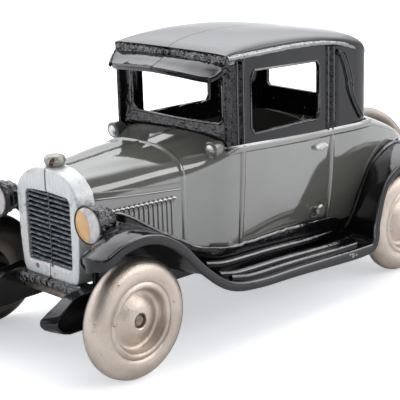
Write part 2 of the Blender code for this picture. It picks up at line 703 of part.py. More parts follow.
def cowl_surface(x, y):
    """Height of the body's rounded top at x and y, and its outward normal across the car."""
    half_width, top, depth = (at_x(BODY_STATIONS, x, column) for column in (1, 2, 3))

    def height(across):
        return top - depth + depth * (1 - (across / half_width) ** SHOULDER_POWER) ** (1 / SHOULDER_POWER)

    step = 0.0002
    slope = (height(y + step) - height(y - step)) / (2 * step)
    length = math.hypot(slope, 1)
    return height(y), (-slope / length, 1 / length)


def make_cowl_lamp(side_name, side):
    """Small bullet lamp on the cowl, in front of the windshield post."""
    radius, length = COWL_LAMP_RADIUS, COWL_LAMP_LENGTH
    profile = [(0, 0), (radius * 0.8, 0), (radius, 0.0004), (radius * 0.95, length * 0.45),
               (radius * 0.6, length * 0.85), (0, length)]
    height, (across, up) = cowl_surface(COWL_LAMP_X + length / 2, COWL_LAMP_Y)
    stand = radius + COWL_LAMP_LIFT
    place(f"cowl_lamp_{side_name}", turned(profile, steps=12), nickel,
          (COWL_LAMP_X + length / 2, side * (COWL_LAMP_Y + across * stand), height + up * stand),
          (0, -math.pi / 2 + math.radians(COWL_LAMP_PITCH), 0))


# Wheels, axles, rivets and the spare wheel's stud
def wheel_body():
    """Plain cast wheel with a round tyre, dished web and stepped hub; outer face towards +Z."""
    half = TYRE_HALF_WIDTH
    centre = WHEEL_RADIUS - half
    bore = AXLE_RADIUS + AXLE_PLAY
    pocket = HEAD_RADIUS + AXLE_PLAY
    hub_top = half - 0.0036
    profile = [(bore, -half), (BOSS_RADIUS * 0.8, -half), (BOSS_RADIUS, -half + 0.0035),
               (RIM_RADIUS, hub_top - WEB_THICKNESS - 0.0012)]
    for step in range(9):
        angle = math.radians(-110 + 220 * step / 8)
        profile.append((centre + half * math.cos(angle), half * math.sin(angle)))
    profile += [(centre - half * 0.75, half * 0.78), (RIM_RADIUS + 0.0006, half * 0.8),
                (RIM_RADIUS, hub_top - 0.0012), (BOSS_RADIUS, hub_top - 0.0006),
                (BOSS_RADIUS * 0.6, hub_top + HEAD_DEPTH), (pocket, hub_top + HEAD_DEPTH + 0.0004),
                (pocket, hub_top), (bore, hub_top)]
    return turned(profile, closed=True, steps=WHEEL_STEPS)


def head_seat():
    """Distance of the wheel's head pocket floor outward from the tyre's middle plane."""
    return TYRE_HALF_WIDTH - 0.0036


def make_wheels():
    for end_name, x in (("front", 0.0), ("rear", -WHEELBASE)):
        for side_name, side in SIDES.items():
            place(f"wheel_{end_name}_{side_name}", wheel_body(), nickel,
                  (x, side * TYRE_OFFSET, AXLE_LINE), (-side * math.pi / 2, 0, 0))
    place("spare_wheel", wheel_body(), nickel, (SPARE_CENTRE_X, 0, SPARE_CENTRE_Z),
          (0, -math.pi / 2, 0))


def headed_bar(radius, half_length, head_radius, head_height, steps=SMALL_STEPS):
    """Bar with a peened head at each end; half_length is measured to the seat of the head."""
    profile = []
    for end in (-1, 1):
        head = [(0, end * (half_length + head_height)),
                (head_radius * 0.7, end * (half_length + head_height)),
                (head_radius, end * (half_length + head_height * 0.35)),
                (head_radius, end * half_length), (radius, end * half_length)]
        profile += head if end < 0 else reversed(head)
    return turned(profile, steps=steps)


def make_axles():
    seat = TYRE_OFFSET + head_seat() + JOINT_GAP
    for end_name, x in (("front", 0.0), ("rear", -WHEELBASE)):
        place(f"axle_{end_name}", headed_bar(AXLE_RADIUS, seat, HEAD_RADIUS, HEAD_DEPTH), steel,
              (x, 0, AXLE_LINE), (math.pi / 2, 0, 0))


def make_rivets():
    body_seat = at_x(BODY_STATIONS, BODY_RIVET_X, 1) + JOINT_GAP / 2
    place("body_rivet", headed_bar(RIVET_RADIUS, body_seat, RIVET_HEAD_RADIUS, RIVET_HEAD_HEIGHT),
          grey_enamel, (BODY_RIVET_X, 0, BODY_RIVET_Z), (math.pi / 2, 0, 0))
    frame_seat = PLATE_Y + PLATE_THICKNESS / 2 + JOINT_GAP
    place("frame_rivet", headed_bar(RIVET_RADIUS, frame_seat, RIVET_HEAD_RADIUS, RIVET_HEAD_HEIGHT),
          black_enamel, (FRAME_RIVET_X, 0, FRAME_RIVET_Z), (math.pi / 2, 0, 0))


def make_spare_stud():
    """Stud through the back panel: flat head inside, peened head in the spare wheel's pocket."""
    inner_end = DECK_END_X + WALL + JOINT_GAP
    outer_seat = SPARE_CENTRE_X - head_seat() - JOINT_GAP
    length = inner_end - outer_seat
    profile = [(0, -0.0012), (0.0038, -0.0012), (0.0038, 0), (AXLE_RADIUS, 0), (AXLE_RADIUS, length),
               (HEAD_RADIUS, length), (HEAD_RADIUS, length + HEAD_DEPTH * 0.35),
               (HEAD_RADIUS * 0.7, length + HEAD_DEPTH), (0, length + HEAD_DEPTH)]
    place("spare_wheel_stud", turned(profile), steel, (inner_end, 0, SPARE_CENTRE_Z),
          (0, -math.pi / 2, 0))


for old in list(bpy.data.objects):
    bpy.data.objects.remove(old, do_unlink=True)

grey_enamel = paint("grey_enamel", (0.135, 0.142, 0.122), 0.22, 0.0)
black_enamel = paint("black_enamel", (0.006, 0.006, 0.007), 0.18, 0.0)
aluminium_paint = paint("aluminium_paint", (0.58, 0.6, 0.6), 0.4, 0.6)
nickel = paint("nickel", (0.58, 0.5, 0.41), 0.34, 0.9)
steel = paint("steel", (0.32, 0.29, 0.26), 0.45, 0.9)
tool_paint = paint("tool", (0.8, 0.2, 0.1), 0.5, 0.0)

car = bpy.data.objects.new("car", None)
car.location = (-CAR_MIDDLE_X, 0, WHEEL_RADIUS - AXLE_LINE)
bpy.context.collection.objects.link(car)

rivet_hole = cross_hole("body_rivet_hole", RIVET_RADIUS + AXLE_PLAY, BODY_RIVET_X, BODY_RIVET_Z)
stud_hole = tool("stud_hole", bar(AXLE_RADIUS + AXLE_PLAY, 0.008), (DECK_END_X, 0, SPARE_CENTRE_Z),
                 (0, math.pi / 2, 0))
frame_holes = [
    cross_hole("front_axle_hole", AXLE_RADIUS + AXLE_PLAY, 0.0, AXLE_LINE),
    cross_hole("rear_axle_hole", AXLE_RADIUS + AXLE_PLAY, -WHEELBASE, AXLE_LINE),
    cross_hole("frame_rivet_hole", RIVET_RADIUS + AXLE_PLAY, FRAME_RIVET_X, FRAME_RIVET_Z),
]
body_cutters = [body_hollow(), rivet_hole, stud_hole]
cab_cutters = [cab_hollow(), *window_cutters()]
shell_cutters = radiator_cutters()

for side_name, side in SIDES.items():
    make_body(side_name, side, body_cutters)
    make_cab(side_name, side, cab_cutters)
    make_fender(side_name, side)
    make_frame(side_name, side, frame_holes)
    make_radiator(side_name, side, shell_cutters)
    make_headlamp(side_name, side)
    make_cowl_lamp(side_name, side)

make_radiator_cap()
make_wheels()
make_axles()
make_rivets()
make_spare_stud()
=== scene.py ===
"""Cast iron toy coupe: enamelled half castings, aluminium-painted radiator, nickel wheels, pale studio."""

import json
from math import cos, pi, radians, sin, sqrt

import bmesh
import bpy
from mathutils import Matrix, Vector, noise


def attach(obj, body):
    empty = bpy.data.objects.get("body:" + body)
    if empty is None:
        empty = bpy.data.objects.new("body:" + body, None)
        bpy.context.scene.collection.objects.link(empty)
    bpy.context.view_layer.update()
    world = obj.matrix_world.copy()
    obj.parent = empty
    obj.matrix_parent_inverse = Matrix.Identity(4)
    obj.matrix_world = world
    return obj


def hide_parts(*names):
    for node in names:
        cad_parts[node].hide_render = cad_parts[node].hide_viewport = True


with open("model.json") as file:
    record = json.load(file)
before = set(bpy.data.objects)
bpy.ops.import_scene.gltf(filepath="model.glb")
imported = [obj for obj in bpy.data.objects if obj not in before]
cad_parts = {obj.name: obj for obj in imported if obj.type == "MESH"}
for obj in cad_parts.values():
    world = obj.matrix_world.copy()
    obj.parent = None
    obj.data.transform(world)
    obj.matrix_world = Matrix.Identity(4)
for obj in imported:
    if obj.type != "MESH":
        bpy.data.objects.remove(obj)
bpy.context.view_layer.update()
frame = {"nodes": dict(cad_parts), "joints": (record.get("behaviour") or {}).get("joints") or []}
MM = 0.001
axle_at = {joint["name"]: Vector(joint["pos_m"]) for joint in frame["joints"]}
front_axle = axle_at["axle_front_turn"]


# Camera: a long lens a little above the toy, looking at its left front corner.
CAMERA_AT = (0.35507, 0.34661, 0.18009)
HEADING, DIP, LEAN = -135.478, 16.224, -1.44


def set_up(thing, **settings):
    for key, value in settings.items():
        setattr(thing, key, value)
    return thing


def put(name, data):
    """An object of its own in the scene."""
    item = bpy.data.objects.new(name, data)
    bpy.context.scene.collection.objects.link(item)
    return item


lens = set_up(bpy.data.cameras.new("camera"), lens=112.22, sensor_width=36, shift_x=-0.0288, shift_y=0.017,
              clip_start=0.01)
camera = put("camera", lens)
turn = Matrix.Rotation(radians(HEADING - 90), 4, "Z")
tilt = Matrix.Rotation(radians(90 - DIP), 4, "X")
lean = Matrix.Rotation(radians(LEAN), 4, "Z")
camera.matrix_world = Matrix.Translation(CAMERA_AT) @ turn @ tilt @ lean
bpy.context.scene.camera = camera
bpy.context.scene.view_settings.view_transform = "Standard"


# Floor and light: a white table in a pale room that is brightest high up behind the toy, with a dim
# ceiling, two glowing patches in front and one soft lamp at the side. The gloss paint mirrors this
# room, and the camera sees a plain white backdrop in its place.
class Mark:
    """A socket of a finish. Sums on it become Math nodes, and make() adds any other node."""

    def __init__(self, tree, socket=None):
        self.tree = tree
        self.socket = socket

    def make(self, kind, inputs=(), out=0, **settings):
        node = set_up(self.tree.nodes.new(kind), **settings)
        for key, value in dict(inputs).items():
            supply(node.inputs[key], value)
        return Mark(self.tree, node.outputs[out])

    def sum(self, operation, *values):
        return self.make("ShaderNodeMath", enumerate(values), operation=operation)

    def __add__(self, other):
        return self.sum("ADD", self, other)

    def __sub__(self, other):
        return self.sum("SUBTRACT", self, other)

    def __rsub__(self, other):
        return self.sum("SUBTRACT", other, self)

    def __mul__(self, other):
        return self.sum("MULTIPLY", self, other)

    def __abs__(self):
        return self.sum("ABSOLUTE", self)

    __radd__ = __add__
    __rmul__ = __mul__

    def step(self, low, high):
        """0 below low, 1 above high, smooth between."""
        inputs = {"Value": self, "From Min": low, "From Max": high}
        return self.make("ShaderNodeMapRange", inputs, interpolation_type="SMOOTHSTEP")

    def fall(self, low, high):
        """1 below low, 0 above high, smooth between."""
        return 1.0 - self.step(low, high)

    def dab(self, first, second):
        """Colour that goes from first to second as this value goes from 0 to 1."""
        return self.make("ShaderNodeMix", {0: self, 6: first, 7: second}, 2, data_type="RGBA")

    def noise(self, scale, detail=3.0, roughness=0.55):
        inputs = {"Vector": self, "Scale": scale, "Detail": detail, "Roughness": roughness}
        return self.make("ShaderNodeTexNoise", inputs)

    def axis(self, number):
        return self.make("ShaderNodeSeparateXYZ", {0: self}, number)

    def measure(self, operation, x, y, z):
        return self.make("ShaderNodeVectorMath", {0: self, 1: (x, y, z)}, 1, operation=operation)

    def away(self, x, y, z):
        """Distance from a point of the car, given in millimetres from the floor under the front axle."""
        return self.measure("DISTANCE", front_axle.x + x * MM, y * MM, z * MM)

    def near(self, x, y, z, reach, soft):
        """1 within reach of a point of the car, falling to 0 over soft, all in millimetres."""
        return self.away(x, y, z).fall(reach * MM, (reach + soft) * MM)


def supply(socket, value):
    """Link a Mark to an input, or type a plain value into it."""
    if isinstance(value, Mark):
        value.tree.links.new(value.socket, socket)
    else:
        socket.default_value = value


def feed(shader, **values):
    """Supply a shader's inputs by their names, with spaces as underscores."""
    for key, value in values.items():
        supply(shader.inputs[key.replace("_", " ")], value)


def begin_finish(name):
    """A new finish: its shader, and the place on the piece in metres."""
    material = bpy.data.materials.new(name)
    material.use_nodes = True
    shader = material.node_tree.nodes["Principled BSDF"]
    return material, shader, Mark(material.node_tree).make("ShaderNodeTexCoord", out=3)


def rgb(red, green, blue):
    return (red, green, blue, 1.0)


TABLE_RADIUS = 3.0
floor_finish, floor_shader, place = begin_finish("table_white")
floor_seen = place.make("ShaderNodeLightPath")
feed(floor_shader, Base_Color=place.noise(90, 2).dab(rgb(0.90, 0.905, 0.915), rgb(0.945, 0.95, 0.955)),
     Emission_Color=floor_seen.dab(rgb(0, 0, 0), rgb(0.46, 0.465, 0.48)), Emission_Strength=1.0,
     Roughness=0.9, Specular_IOR_Level=0.2)
bm = bmesh.new()
bmesh.ops.create_circle(bm, cap_ends=True, radius=TABLE_RADIUS, segments=96)
floor_mesh = bpy.data.meshes.new("table")
bm.to_mesh(floor_mesh)
bm.free()
floor_mesh.materials.append(floor_finish)
floor = put("table", floor_mesh)

room = bpy.data.worlds.new("studio")
bpy.context.scene.world = room
room.use_nodes = True
direction = Mark(room.node_tree).make("ShaderNodeTexCoord")
height = direction.axis(2)
near_wall = height.step(-0.05, 0.05).dab(rgb(0.8, 0.8, 0.8), rgb(0.2, 0.2, 0.21))
side_glow = direction.measure("DOT_PRODUCT", -0.79, 0.55, 0.26).step(0.86, 0.96)
near_wall = side_glow.dab(near_wall, rgb(1.7, 1.7, 1.75))
far_wall = height.step(0.12, 0.72).dab(rgb(1.0, 1.01, 1.05), rgb(3.1, 3.12, 3.2))
wall = direction.measure("DOT_PRODUCT", -0.707, -0.707, 0.0).step(0.05, 0.4).dab(near_wall, far_wall)
front_glow = direction.measure("DOT_PRODUCT", 0.80, -0.55, 0.25).step(0.78, 0.93)
wall = front_glow.dab(wall, rgb(1.35, 1.36, 1.4))
room_colour = height.step(0.9, 0.97).dab(wall, rgb(0.7, 0.7, 0.73))
seen = direction.make("ShaderNodeLightPath")
feed(room.node_tree.nodes["Background"], Color=seen.dab(room_colour, rgb(0.955, 1.0, 1.0)), Strength=1.0)

LIGHT_AT = Vector((-0.41, 0.95, 0.68))
LIGHT_TARGET = Vector((0, 0, 0.06))
light = set_up(bpy.data.lights.new("side_light", "AREA"), shape="RECTANGLE", size=1.5, size_y=0.42,
               energy=5.0)
aim = (LIGHT_TARGET - LIGHT_AT).to_track_quat("-Z", "Y").to_matrix().to_4x4()
put("side_light", light).matrix_world = Matrix.Translation(LIGHT_AT) @ aim


# Body halves: hood, cowl, door, quarter and deck in one grey enamelled casting for each side, with
# cast mouldings and louvres. The halves meet at the centre seam and are held by peened cross rivets.
# All shapes are drawn in millimetres: x forward from the front axle, y to the left, z from the floor.
SEAM = 0.15
CREASE_ANGLE, ROUNDED_ANGLE = 42, 35


def flow(table, x, column=1):
    """Value at x on a smooth line through a table whose x falls from row to row."""
    if x >= table[0][0]:
        return table[0][column]
    if x <= table[-1][0]:
        return table[-1][column]
    i = next(k for k in range(len(table)) if table[k + 1][0] <= x)
    first, second = table[i], table[i + 1]
    span = second[0] - first[0]
    slopes = []
    for k in (i, i + 1):
        if 0 < k < len(table) - 1:
            a, b, c = table[k - 1:k + 2]
            left = (b[column] - a[column]) / (b[0] - a[0])
            right = (c[column] - b[column]) / (c[0] - b[0])
            slopes.append(0.0 if left * right <= 0 else 2 * left * right / (left + right))
        else:
            slopes.append((second[column] - first[column]) / span)
    t = (x - first[0]) / span
    return ((2 * t**3 - 3 * t**2 + 1) * first[column] + (t**3 - 2 * t**2 + t) * span * slopes[0]
            + (3 * t**2 - 2 * t**3) * second[column] + (t**3 - t**2) * span * slopes[1])


def steps(*stops):
    """Values from stop to stop: steps(0, (1, 4), (3, 2)) goes from 0 to 1 in four and to 3 in two."""
    values = [stops[0]]
    for end, count in stops[1:]:
        begin = values[-1]
        values += [begin + (end - begin) * k / count for k in range(1, count + 1)]
    return values


def ripple(x, y, z):
    """Unevenness of a casting, between about -1 and 1, the same each run."""
    return noise.noise(Vector((x, y, z)))


def add_skin(bm, columns, rows, place, keep=None, flip=False):
    """A sheet whose corner for each column and row value is put where place() says."""
    across, along = len(columns) - 1, len(rows) - 1
    verts = bmesh.ops.create_grid(bm, x_segments=across, y_segments=along, size=1)["verts"]
    where = {}
    for vert in verts:
        where[vert] = (round((vert.co.x + 1) / 2 * across), round((vert.co.y + 1) / 2 * along))
    faces = {face for vert in verts for face in vert.link_faces}
    if keep:
        opening = []
        for face in faces:
            i, j = (min(where[vert][axis] for vert in face.verts) for axis in (0, 1))
            if not keep((columns[i] + columns[i + 1]) / 2, (rows[j] + rows[j + 1]) / 2):
                opening.append(face)
        bmesh.ops.delete(bm, geom=opening, context="FACES")
        verts = [vert for vert in verts if vert.is_valid]
        faces = {face for vert in verts for face in vert.link_faces}
    for vert in verts:
        i, j = where[vert]
        vert.co = place(columns[i], rows[j])
    if flip:
        bmesh.ops.reverse_faces(bm, faces=list(faces))
    return verts


def add_solid(bm, columns, rows, place):
    """A skin that comes round on itself, merged along the joint and filled at both ends."""
    verts = add_skin(bm, columns, rows, place)
    bmesh.ops.remove_doubles(bm, verts=verts, dist=0.001)
    verts = {vert for vert in verts if vert.is_valid}
    rims = [edge for edge in bm.edges if edge.is_boundary and edge.verts[0] in verts]
    bmesh.ops.holes_fill(bm, edges=rims, sides=0)
    bmesh.ops.recalc_face_normals(bm, faces=[face for face in bm.faces if face.verts[0] in verts])


def add_bead(bm, path, normals, width, height, sunk=0.5, turns=8):
    """A rounded moulding along a path of points, proud along the normals, with closed ends."""
    path = [Vector(point) for point in path]
    normals, widths, heights = (value if isinstance(value, list) else [value] * len(path)
                                for value in (normals, width, height))

    def ring(i, k):
        ahead = path[min(i + 1, len(path) - 1)] - path[max(i - 1, 0)]
        normal = Vector(normals[i]).normalized()
        across = ahead.cross(normal).normalized()
        angle = 2 * pi * k / turns
        lift = sin(angle)
        proud = heights[i] if lift > 0 else sunk
        return path[i] + across * widths[i] / 2 * cos(angle) + normal * proud * lift

    add_solid(bm, range(len(path)), range(turns + 1), ring)


def settle(name, bm, finish, node=None, body="car"):
    """Bring a drawn shape into the car, in metres, as a piece that moves with a body."""
    bmesh.ops.scale(bm, vec=(MM, MM, MM), verts=bm.verts)
    bmesh.ops.translate(bm, vec=(front_axle.x, 0, 0), verts=bm.verts)
    for face in bm.faces:
        face.smooth = True
    for edge in bm.edges:
        edge.smooth = len(edge.link_faces) == 2 and edge.calc_face_angle(0) < radians(CREASE_ANGLE)
    mesh = bpy.data.meshes.new(name)
    bm.to_mesh(mesh)
    bm.free()
    mesh.materials.append(finish)
    piece = put(name, mesh)
    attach(piece, body)
    if node:
        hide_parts(node)
    return piece


def halves(name, finish, node=None, wall=None, edge=None, fair=False):
    """A left and a right casting: hands out an empty mesh, to be drawn as for the left, and its side.

    wall is the casting's thickness inward, edge the radius of its edges and the steps round them."""
    for hand, side in (("_left", 1), ("_right", -1)):
        bm = bmesh.new()
        yield bm, side
        if side < 0:
            bmesh.ops.scale(bm, vec=(1, -1, 1), verts=bm.verts)
            bmesh.ops.reverse_faces(bm, faces=bm.faces)
        modifiers = settle(name + hand, bm, finish, node and node + hand).modifiers
        if wall:
            set_up(modifiers.new("wall", "SOLIDIFY"), thickness=wall * MM, offset=-1)
        if edge:
            set_up(modifiers.new("round_edges", "BEVEL"), width=edge[0] * MM, segments=edge[1],
                   limit_method="ANGLE", angle_limit=radians(ROUNDED_ANGLE))
        if fair:
            set_up(modifiers.new("fair_surface", "SUBSURF"), levels=1, render_levels=1)


def relief(heights, depth, shader):
    """Bump from a height sum, in metres for a height of 1."""
    feed(shader, Normal=heights.make("ShaderNodeBump", {"Height": heights, "Distance": depth}))


def grey_enamel_finish():
    """Old gloss enamel on cast iron: faint orange peel, dull spots, a few chips, bare black inside."""
    material, shader, place = begin_finish("grey_enamel_aged")
    x, y, z = (place.axis(number) for number in range(3))
    cloud = place.noise(28, 3)
    chip = place.noise(260, 4, 0.75).step(0.735, 0.75)
    tone = cloud.step(0.3, 0.75).dab(rgb(0.122, 0.124, 0.108), rgb(0.138, 0.139, 0.124))
    tone = (place.noise(900, 2, 0.7).step(0.62, 0.8) * 0.5).dab(tone, rgb(0.095, 0.096, 0.084))
    tone = chip.dab(tone, rgb(0.05, 0.042, 0.036))
    hood_top = z.step(0.066, 0.069) * x.step(0.0205, 0.0225)
    inside = (abs(y) - z.step(0.045, 0.055) * 0.0021).fall(0.0283, 0.0287) * z.fall(0.0665, 0.067)
    inside = inside * x.step(-0.0615, -0.061) * x.fall(0.0205, 0.021)
    feed(shader, Base_Color=inside.dab(tone, rgb(0.012, 0.012, 0.013)), IOR=1.5, Coat_IOR=2.1,
         Roughness=0.05 + cloud * 0.07 + chip * 0.4 + inside * 0.4, Coat_Roughness=0.06,
         Coat_Weight=(1.0 - hood_top * 0.7) * (1.0 - inside))
    relief(place.noise(55, 2) * 0.35 + place.noise(420, 3, 0.6) * 0.05 - chip * 0.12, 0.0006, shader)
    return material


grey_enamel = grey_enamel_finish()

HOOD_FRONT, WINDSHIELD, CAB_BACK, DECK_END = -5.0, -63.3, -147.3, -182.5
WIDTH = [(-5, 16.9), (-18, 19.2), (-31, 21.4), (-44, 23.4), (-54, 26.9), (-60.5, 30.3), (-63.3, 31.2),
         (-67, 31.8), (-80, 32.0), (-100, 31.8), (-121, 31.5), (-134, 32.5), (-140, 32.8), (-147, 32.4),
         (-158, 31.3), (-171, 29.2), (-178.5, 26.5), (-181.5, 24.6), (-182.5, 23.3)]
# Top of the hood and cowl, and of the deck: x, height, depth of the rounded shoulder
HOOD_TOP = [(-5, 69.0, 14.5), (-18, 69.8, 13.5), (-31, 70.8, 13.0), (-44, 71.3, 12.5), (-54, 72.2, 10.0),
            (-60.5, 73.0, 7.2), (-63.3, 73.4, 6.0)]
DECK_TOP = [(-147.3, 69.0, 6.0), (-158, 65.5, 6.0), (-171, 59.8, 5.5), (-178.5, 54.5, 6.0),
            (-181.5, 50.0, 6.0), (-182.5, 46.0, 5.0)]
BELT_TOP = [(-59, 70.0), (-70.2, 69.6), (-93.6, 68.0), (-120.2, 66.6), (-140.9, 66.3), (-148, 66.3)]
SHOULDER = 2.6
# How far the side turns in toward the sill, and how late it does so
TURN_UNDER = [(-44, 0.0), (-54, 0.8), (-60.5, 1.4), (-70, 2.7), (-100, 3.6), (-121, 3.4), (-134, 1.9),
              (-140, 0.7), (-147, 0.0)]
TUCK = [(-44, 1.3), (-67, 1.4), (-90, 2.8), (-121, 3.1), (-147, 3.0)]
SILL = [(-5, 54.3), (-13, 53), (-33, 41.5), (-45, 34.6), (-50, 31.8), (-66, 29.8), (-95, 28.9),
        (-123.5, 26.8), (-134, 25.9), (-135.4, 27), (-137.9, 33.6), (-140.6, 38.9), (-146.1, 44.8),
        (-153.3, 49.5), (-159.9, 51.8), (-170.9, 53.2), (-182.5, 53)]
DECK_SILL_FROM, DECK_SILL = -171.5, 27.0
# Hood band and door grooves cast across the side: middle, half width, how far proud
BODY_LINES = [(-43.8, 1.1, 0.55), (-67.1, 0.45, -0.7), (-68.5, 1.0, 0.45), (-121.2, 0.4, -0.6),
              (-122.5, 0.95, 0.45)]


def cast_lines(lines, x):
    """How far lines cast across a side make it stand out at x."""
    return sum(proud * max(1 - ((x - middle) / half) ** 2, 0) for middle, half, proud in lines)


def section_top(x):
    """Height of the section's top, depth of its shoulder."""
    if x > WINDSHIELD:
        return flow(HOOD_TOP, x), flow(HOOD_TOP, x, 2)
    if x > CAB_BACK:
        return flow(BELT_TOP, x), 0.0
    return flow(DECK_TOP, x), flow(DECK_TOP, x, 2)


def body_point(x, v):
    """Point of the body: v 0 to 1 from the seam over the shoulder, 1 to 2 down the side, past 2 tucked in."""
    line = cast_lines(BODY_LINES, x)
    half = flow(WIDTH, x) + line
    top, depth = section_top(x)
    if v <= 1:
        angle = v * pi / 2
        across = max(half * sin(angle) ** (2 / SHOULDER), SEAM)
        rise = line * cos(angle) + depth * max(cos(angle), 0) ** (2 / SHOULDER)
        return Vector((x, across, top - depth + rise))
    sill = flow(SILL, x) if x > DECK_SILL_FROM else DECK_SILL
    share = min(v - 1, 1)
    tuck = max(v - 2, 0)
    turn = flow(TURN_UNDER, x) * share ** flow(TUCK, x)
    height = top - depth
    return Vector((x, half - turn - tuck * 1.5, height + (sill - height) * share - tuck * 1.4))


def side_y(x, z):
    """Distance of the body's side from the centre at a height."""
    half = flow(WIDTH, x)
    top, depth = section_top(x)
    if z > top - depth and depth:
        share = min((z - top + depth) / depth, 1)
        return half * max(1 - share**SHOULDER, 0) ** (1 / SHOULDER)
    share = (top - depth - z) / max(top - depth - flow(SILL, x), 1)
    return half - flow(TURN_UNDER, x) * max(share, 0) ** flow(TUCK, x)


body_columns = sorted({round(x, 3) for x in (
    steps(HOOD_FRONT, (-42.4, 20), (-45.2, 10), (WINDSHIELD, 12)) + [-63.5]
    + steps(-66.4, (-69.8, 14), (-120.6, 26), (-123.8, 14), (-134, 6), (-147.2, 12)) + [-147.35]
    + steps(-148.5, (-171, 12), (-171.45, 1), (-171.6, 1), (DECK_END, 12)))})
body_rows = steps(0.0, (1, 14), (2, 16), (3, 1))

for bm, _ in halves("body_shell", grey_enamel, "body_half", wall=1.6):
    add_skin(bm, body_columns, body_rows, body_point, lambda x, v: v > 1 or not CAB_BACK < x < WINDSHIELD)
    end = [edge for edge in bm.edges
           if edge.is_boundary and all(vert.co.x < DECK_END + 0.1 for vert in edge.verts)]
    rim = {vert for edge in end for vert in edge.verts}
    low, high = min(rim, key=lambda vert: vert.co.z), max(rim, key=lambda vert: vert.co.z)
    inner = bm.verts.new((DECK_END, SEAM, low.co.z))
    closing = [bm.edges.new((low, inner)), bm.edges.new((inner, high))]
    bmesh.ops.contextual_create(bm, geom=end + closing)
    bm.normal_update()
    back = [face for face in bm.faces if len(face.verts) > 4]
    if back and back[0].normal.x > 0:
        bmesh.ops.reverse_faces(bm, faces=back)

# Mouldings: belt line, hood hinge beads and louvres stand out of the grey casting, and so does the
# door handle, whose pale grey colour is a painted highlight.
HINGE_LINE = [(-4.8, 59.2), (-24.7, 57.7), (-42.6, 56.5)]
LOUVRE_FOOT = [(-13, 52.6), (-22, 47.4), (-33, 41.9), (-39.5, 38.8)]
LOUVRE_COUNT, LOUVRE_FIRST, LOUVRE_PITCH = 14, -11.4, 2.05
HANDLE_MIDDLE, HANDLE_HALF, HANDLE_HEIGHT = -114, 3.6, 60.7


def along_side(line, out=0.0):
    """Points on the body's side along a line of (x, z) pairs."""
    return [(x, side_y(x, z) + out, z) for x, z in line]


def flank_normals(line):
    """Outward normals of the body's side along a line of (x, z) pairs."""
    return [Vector((0, 1, (side_y(x, z - 0.4) - side_y(x, z + 0.4)) / 0.8)).normalized() for x, z in line]


def mottled_finish(name, slot, grain, band, tones, gloss, depth, metal=(0.0, 0.0), **fixed):
    """One noise, given by scale, detail and roughness, sets two tones, the gloss and the relief."""
    material, shader, place = begin_finish(name)
    heights = place.noise(*grain)
    share = heights.step(*band)
    feed(shader, Base_Color=share.dab(*tones), Roughness=gloss[0] + heights * gloss[1],
         Metallic=metal[0] + share * metal[1], **fixed)
    relief(heights, depth, shader)
    return material


# Painted highlight: the handle is coloured pale grey in place of the light it catches.
handle_highlight_finish = mottled_finish("handle_painted_highlight", "grey_enamel", (420, 3, 0.6), (0.4, 0.65),
                               (rgb(0.5, 0.5, 0.48), rgb(0.75, 0.75, 0.73)), (0.2, 0.2), 0.0002, IOR=1.9)

for bm, side in halves("belt_and_hood_beads", grey_enamel):
    belt = [(x, flow(BELT_TOP, x) - 1.45) for x in steps(-59.5, (-66.7, 5), (-121, 22), (-147.4, 12))]
    add_bead(bm, along_side(belt), flank_normals(belt), 2.9, 0.5, turns=12)
    rim = [(x, flow(WIDTH, x) - 0.35, z + 1.35) for x, z in belt]
    add_bead(bm, rim, (0, 0.6, 0.8), 1.0, 0.5)
    for lift, width, height in ((0.0, 0.9, 0.45), (2.3, 0.7, 0.32)):
        hinge = [(x, flow(HINGE_LINE, x) + lift) for x in steps(-5.4, (-42.6, 16))]
        add_bead(bm, along_side(hinge), flank_normals(hinge), width, height)
    flash = [(x, SEAM + 0.3, flow(HOOD_TOP, x) + 0.05 + ripple(x * 0.4, 7, side) * 0.15)
             for x in steps(-8, (-63, 40))]
    add_bead(bm, flash, (0, 0, 1), 0.6, 0.22, turns=6)

for bm, _ in halves("hood_louvres", grey_enamel):
    for k in range(LOUVRE_COUNT):
        x = LOUVRE_FIRST - k * LOUVRE_PITCH
        foot = max(flow(LOUVRE_FOOT, x), flow(SILL, x) + 0.6)
        head = [(x, 53.7), (x - 0.9, 53.9), (x - 1.7, 53.5)]
        add_bead(bm, along_side(head), (0, 1, 0), 1.5, 0.95)
        lip = [(x + 0.2, 52.3), (x - 0.7, 52.5), (x - 1.3, 52.1)]
        add_bead(bm, along_side(lip), (0, 1, 0.5), 0.8, 0.6)
        if foot < 52:
            fin = [(x - 0.4, z) for z in steps(53.2, (foot, 8))]
            add_bead(bm, along_side(fin), (0.35, 1, 0), 1.3, 0.38)

for bm, _ in halves("door_handle", handle_highlight_finish):
    grip = [(x, HANDLE_HEIGHT) for x in steps(HANDLE_MIDDLE + HANDLE_HALF, (HANDLE_MIDDLE - HANDLE_HALF, 12))]
    add_bead(bm, along_side(grip, 0.1), (0, 1, 0.55), 3.3, 1.5, turns=14)
    for vert in bm.verts:
        narrow = 1 - 0.5 * (abs(vert.co.x - HANDLE_MIDDLE) / HANDLE_HALF) ** 3
        vert.co.z = HANDLE_HEIGHT + (vert.co.z - HANDLE_HEIGHT) * narrow


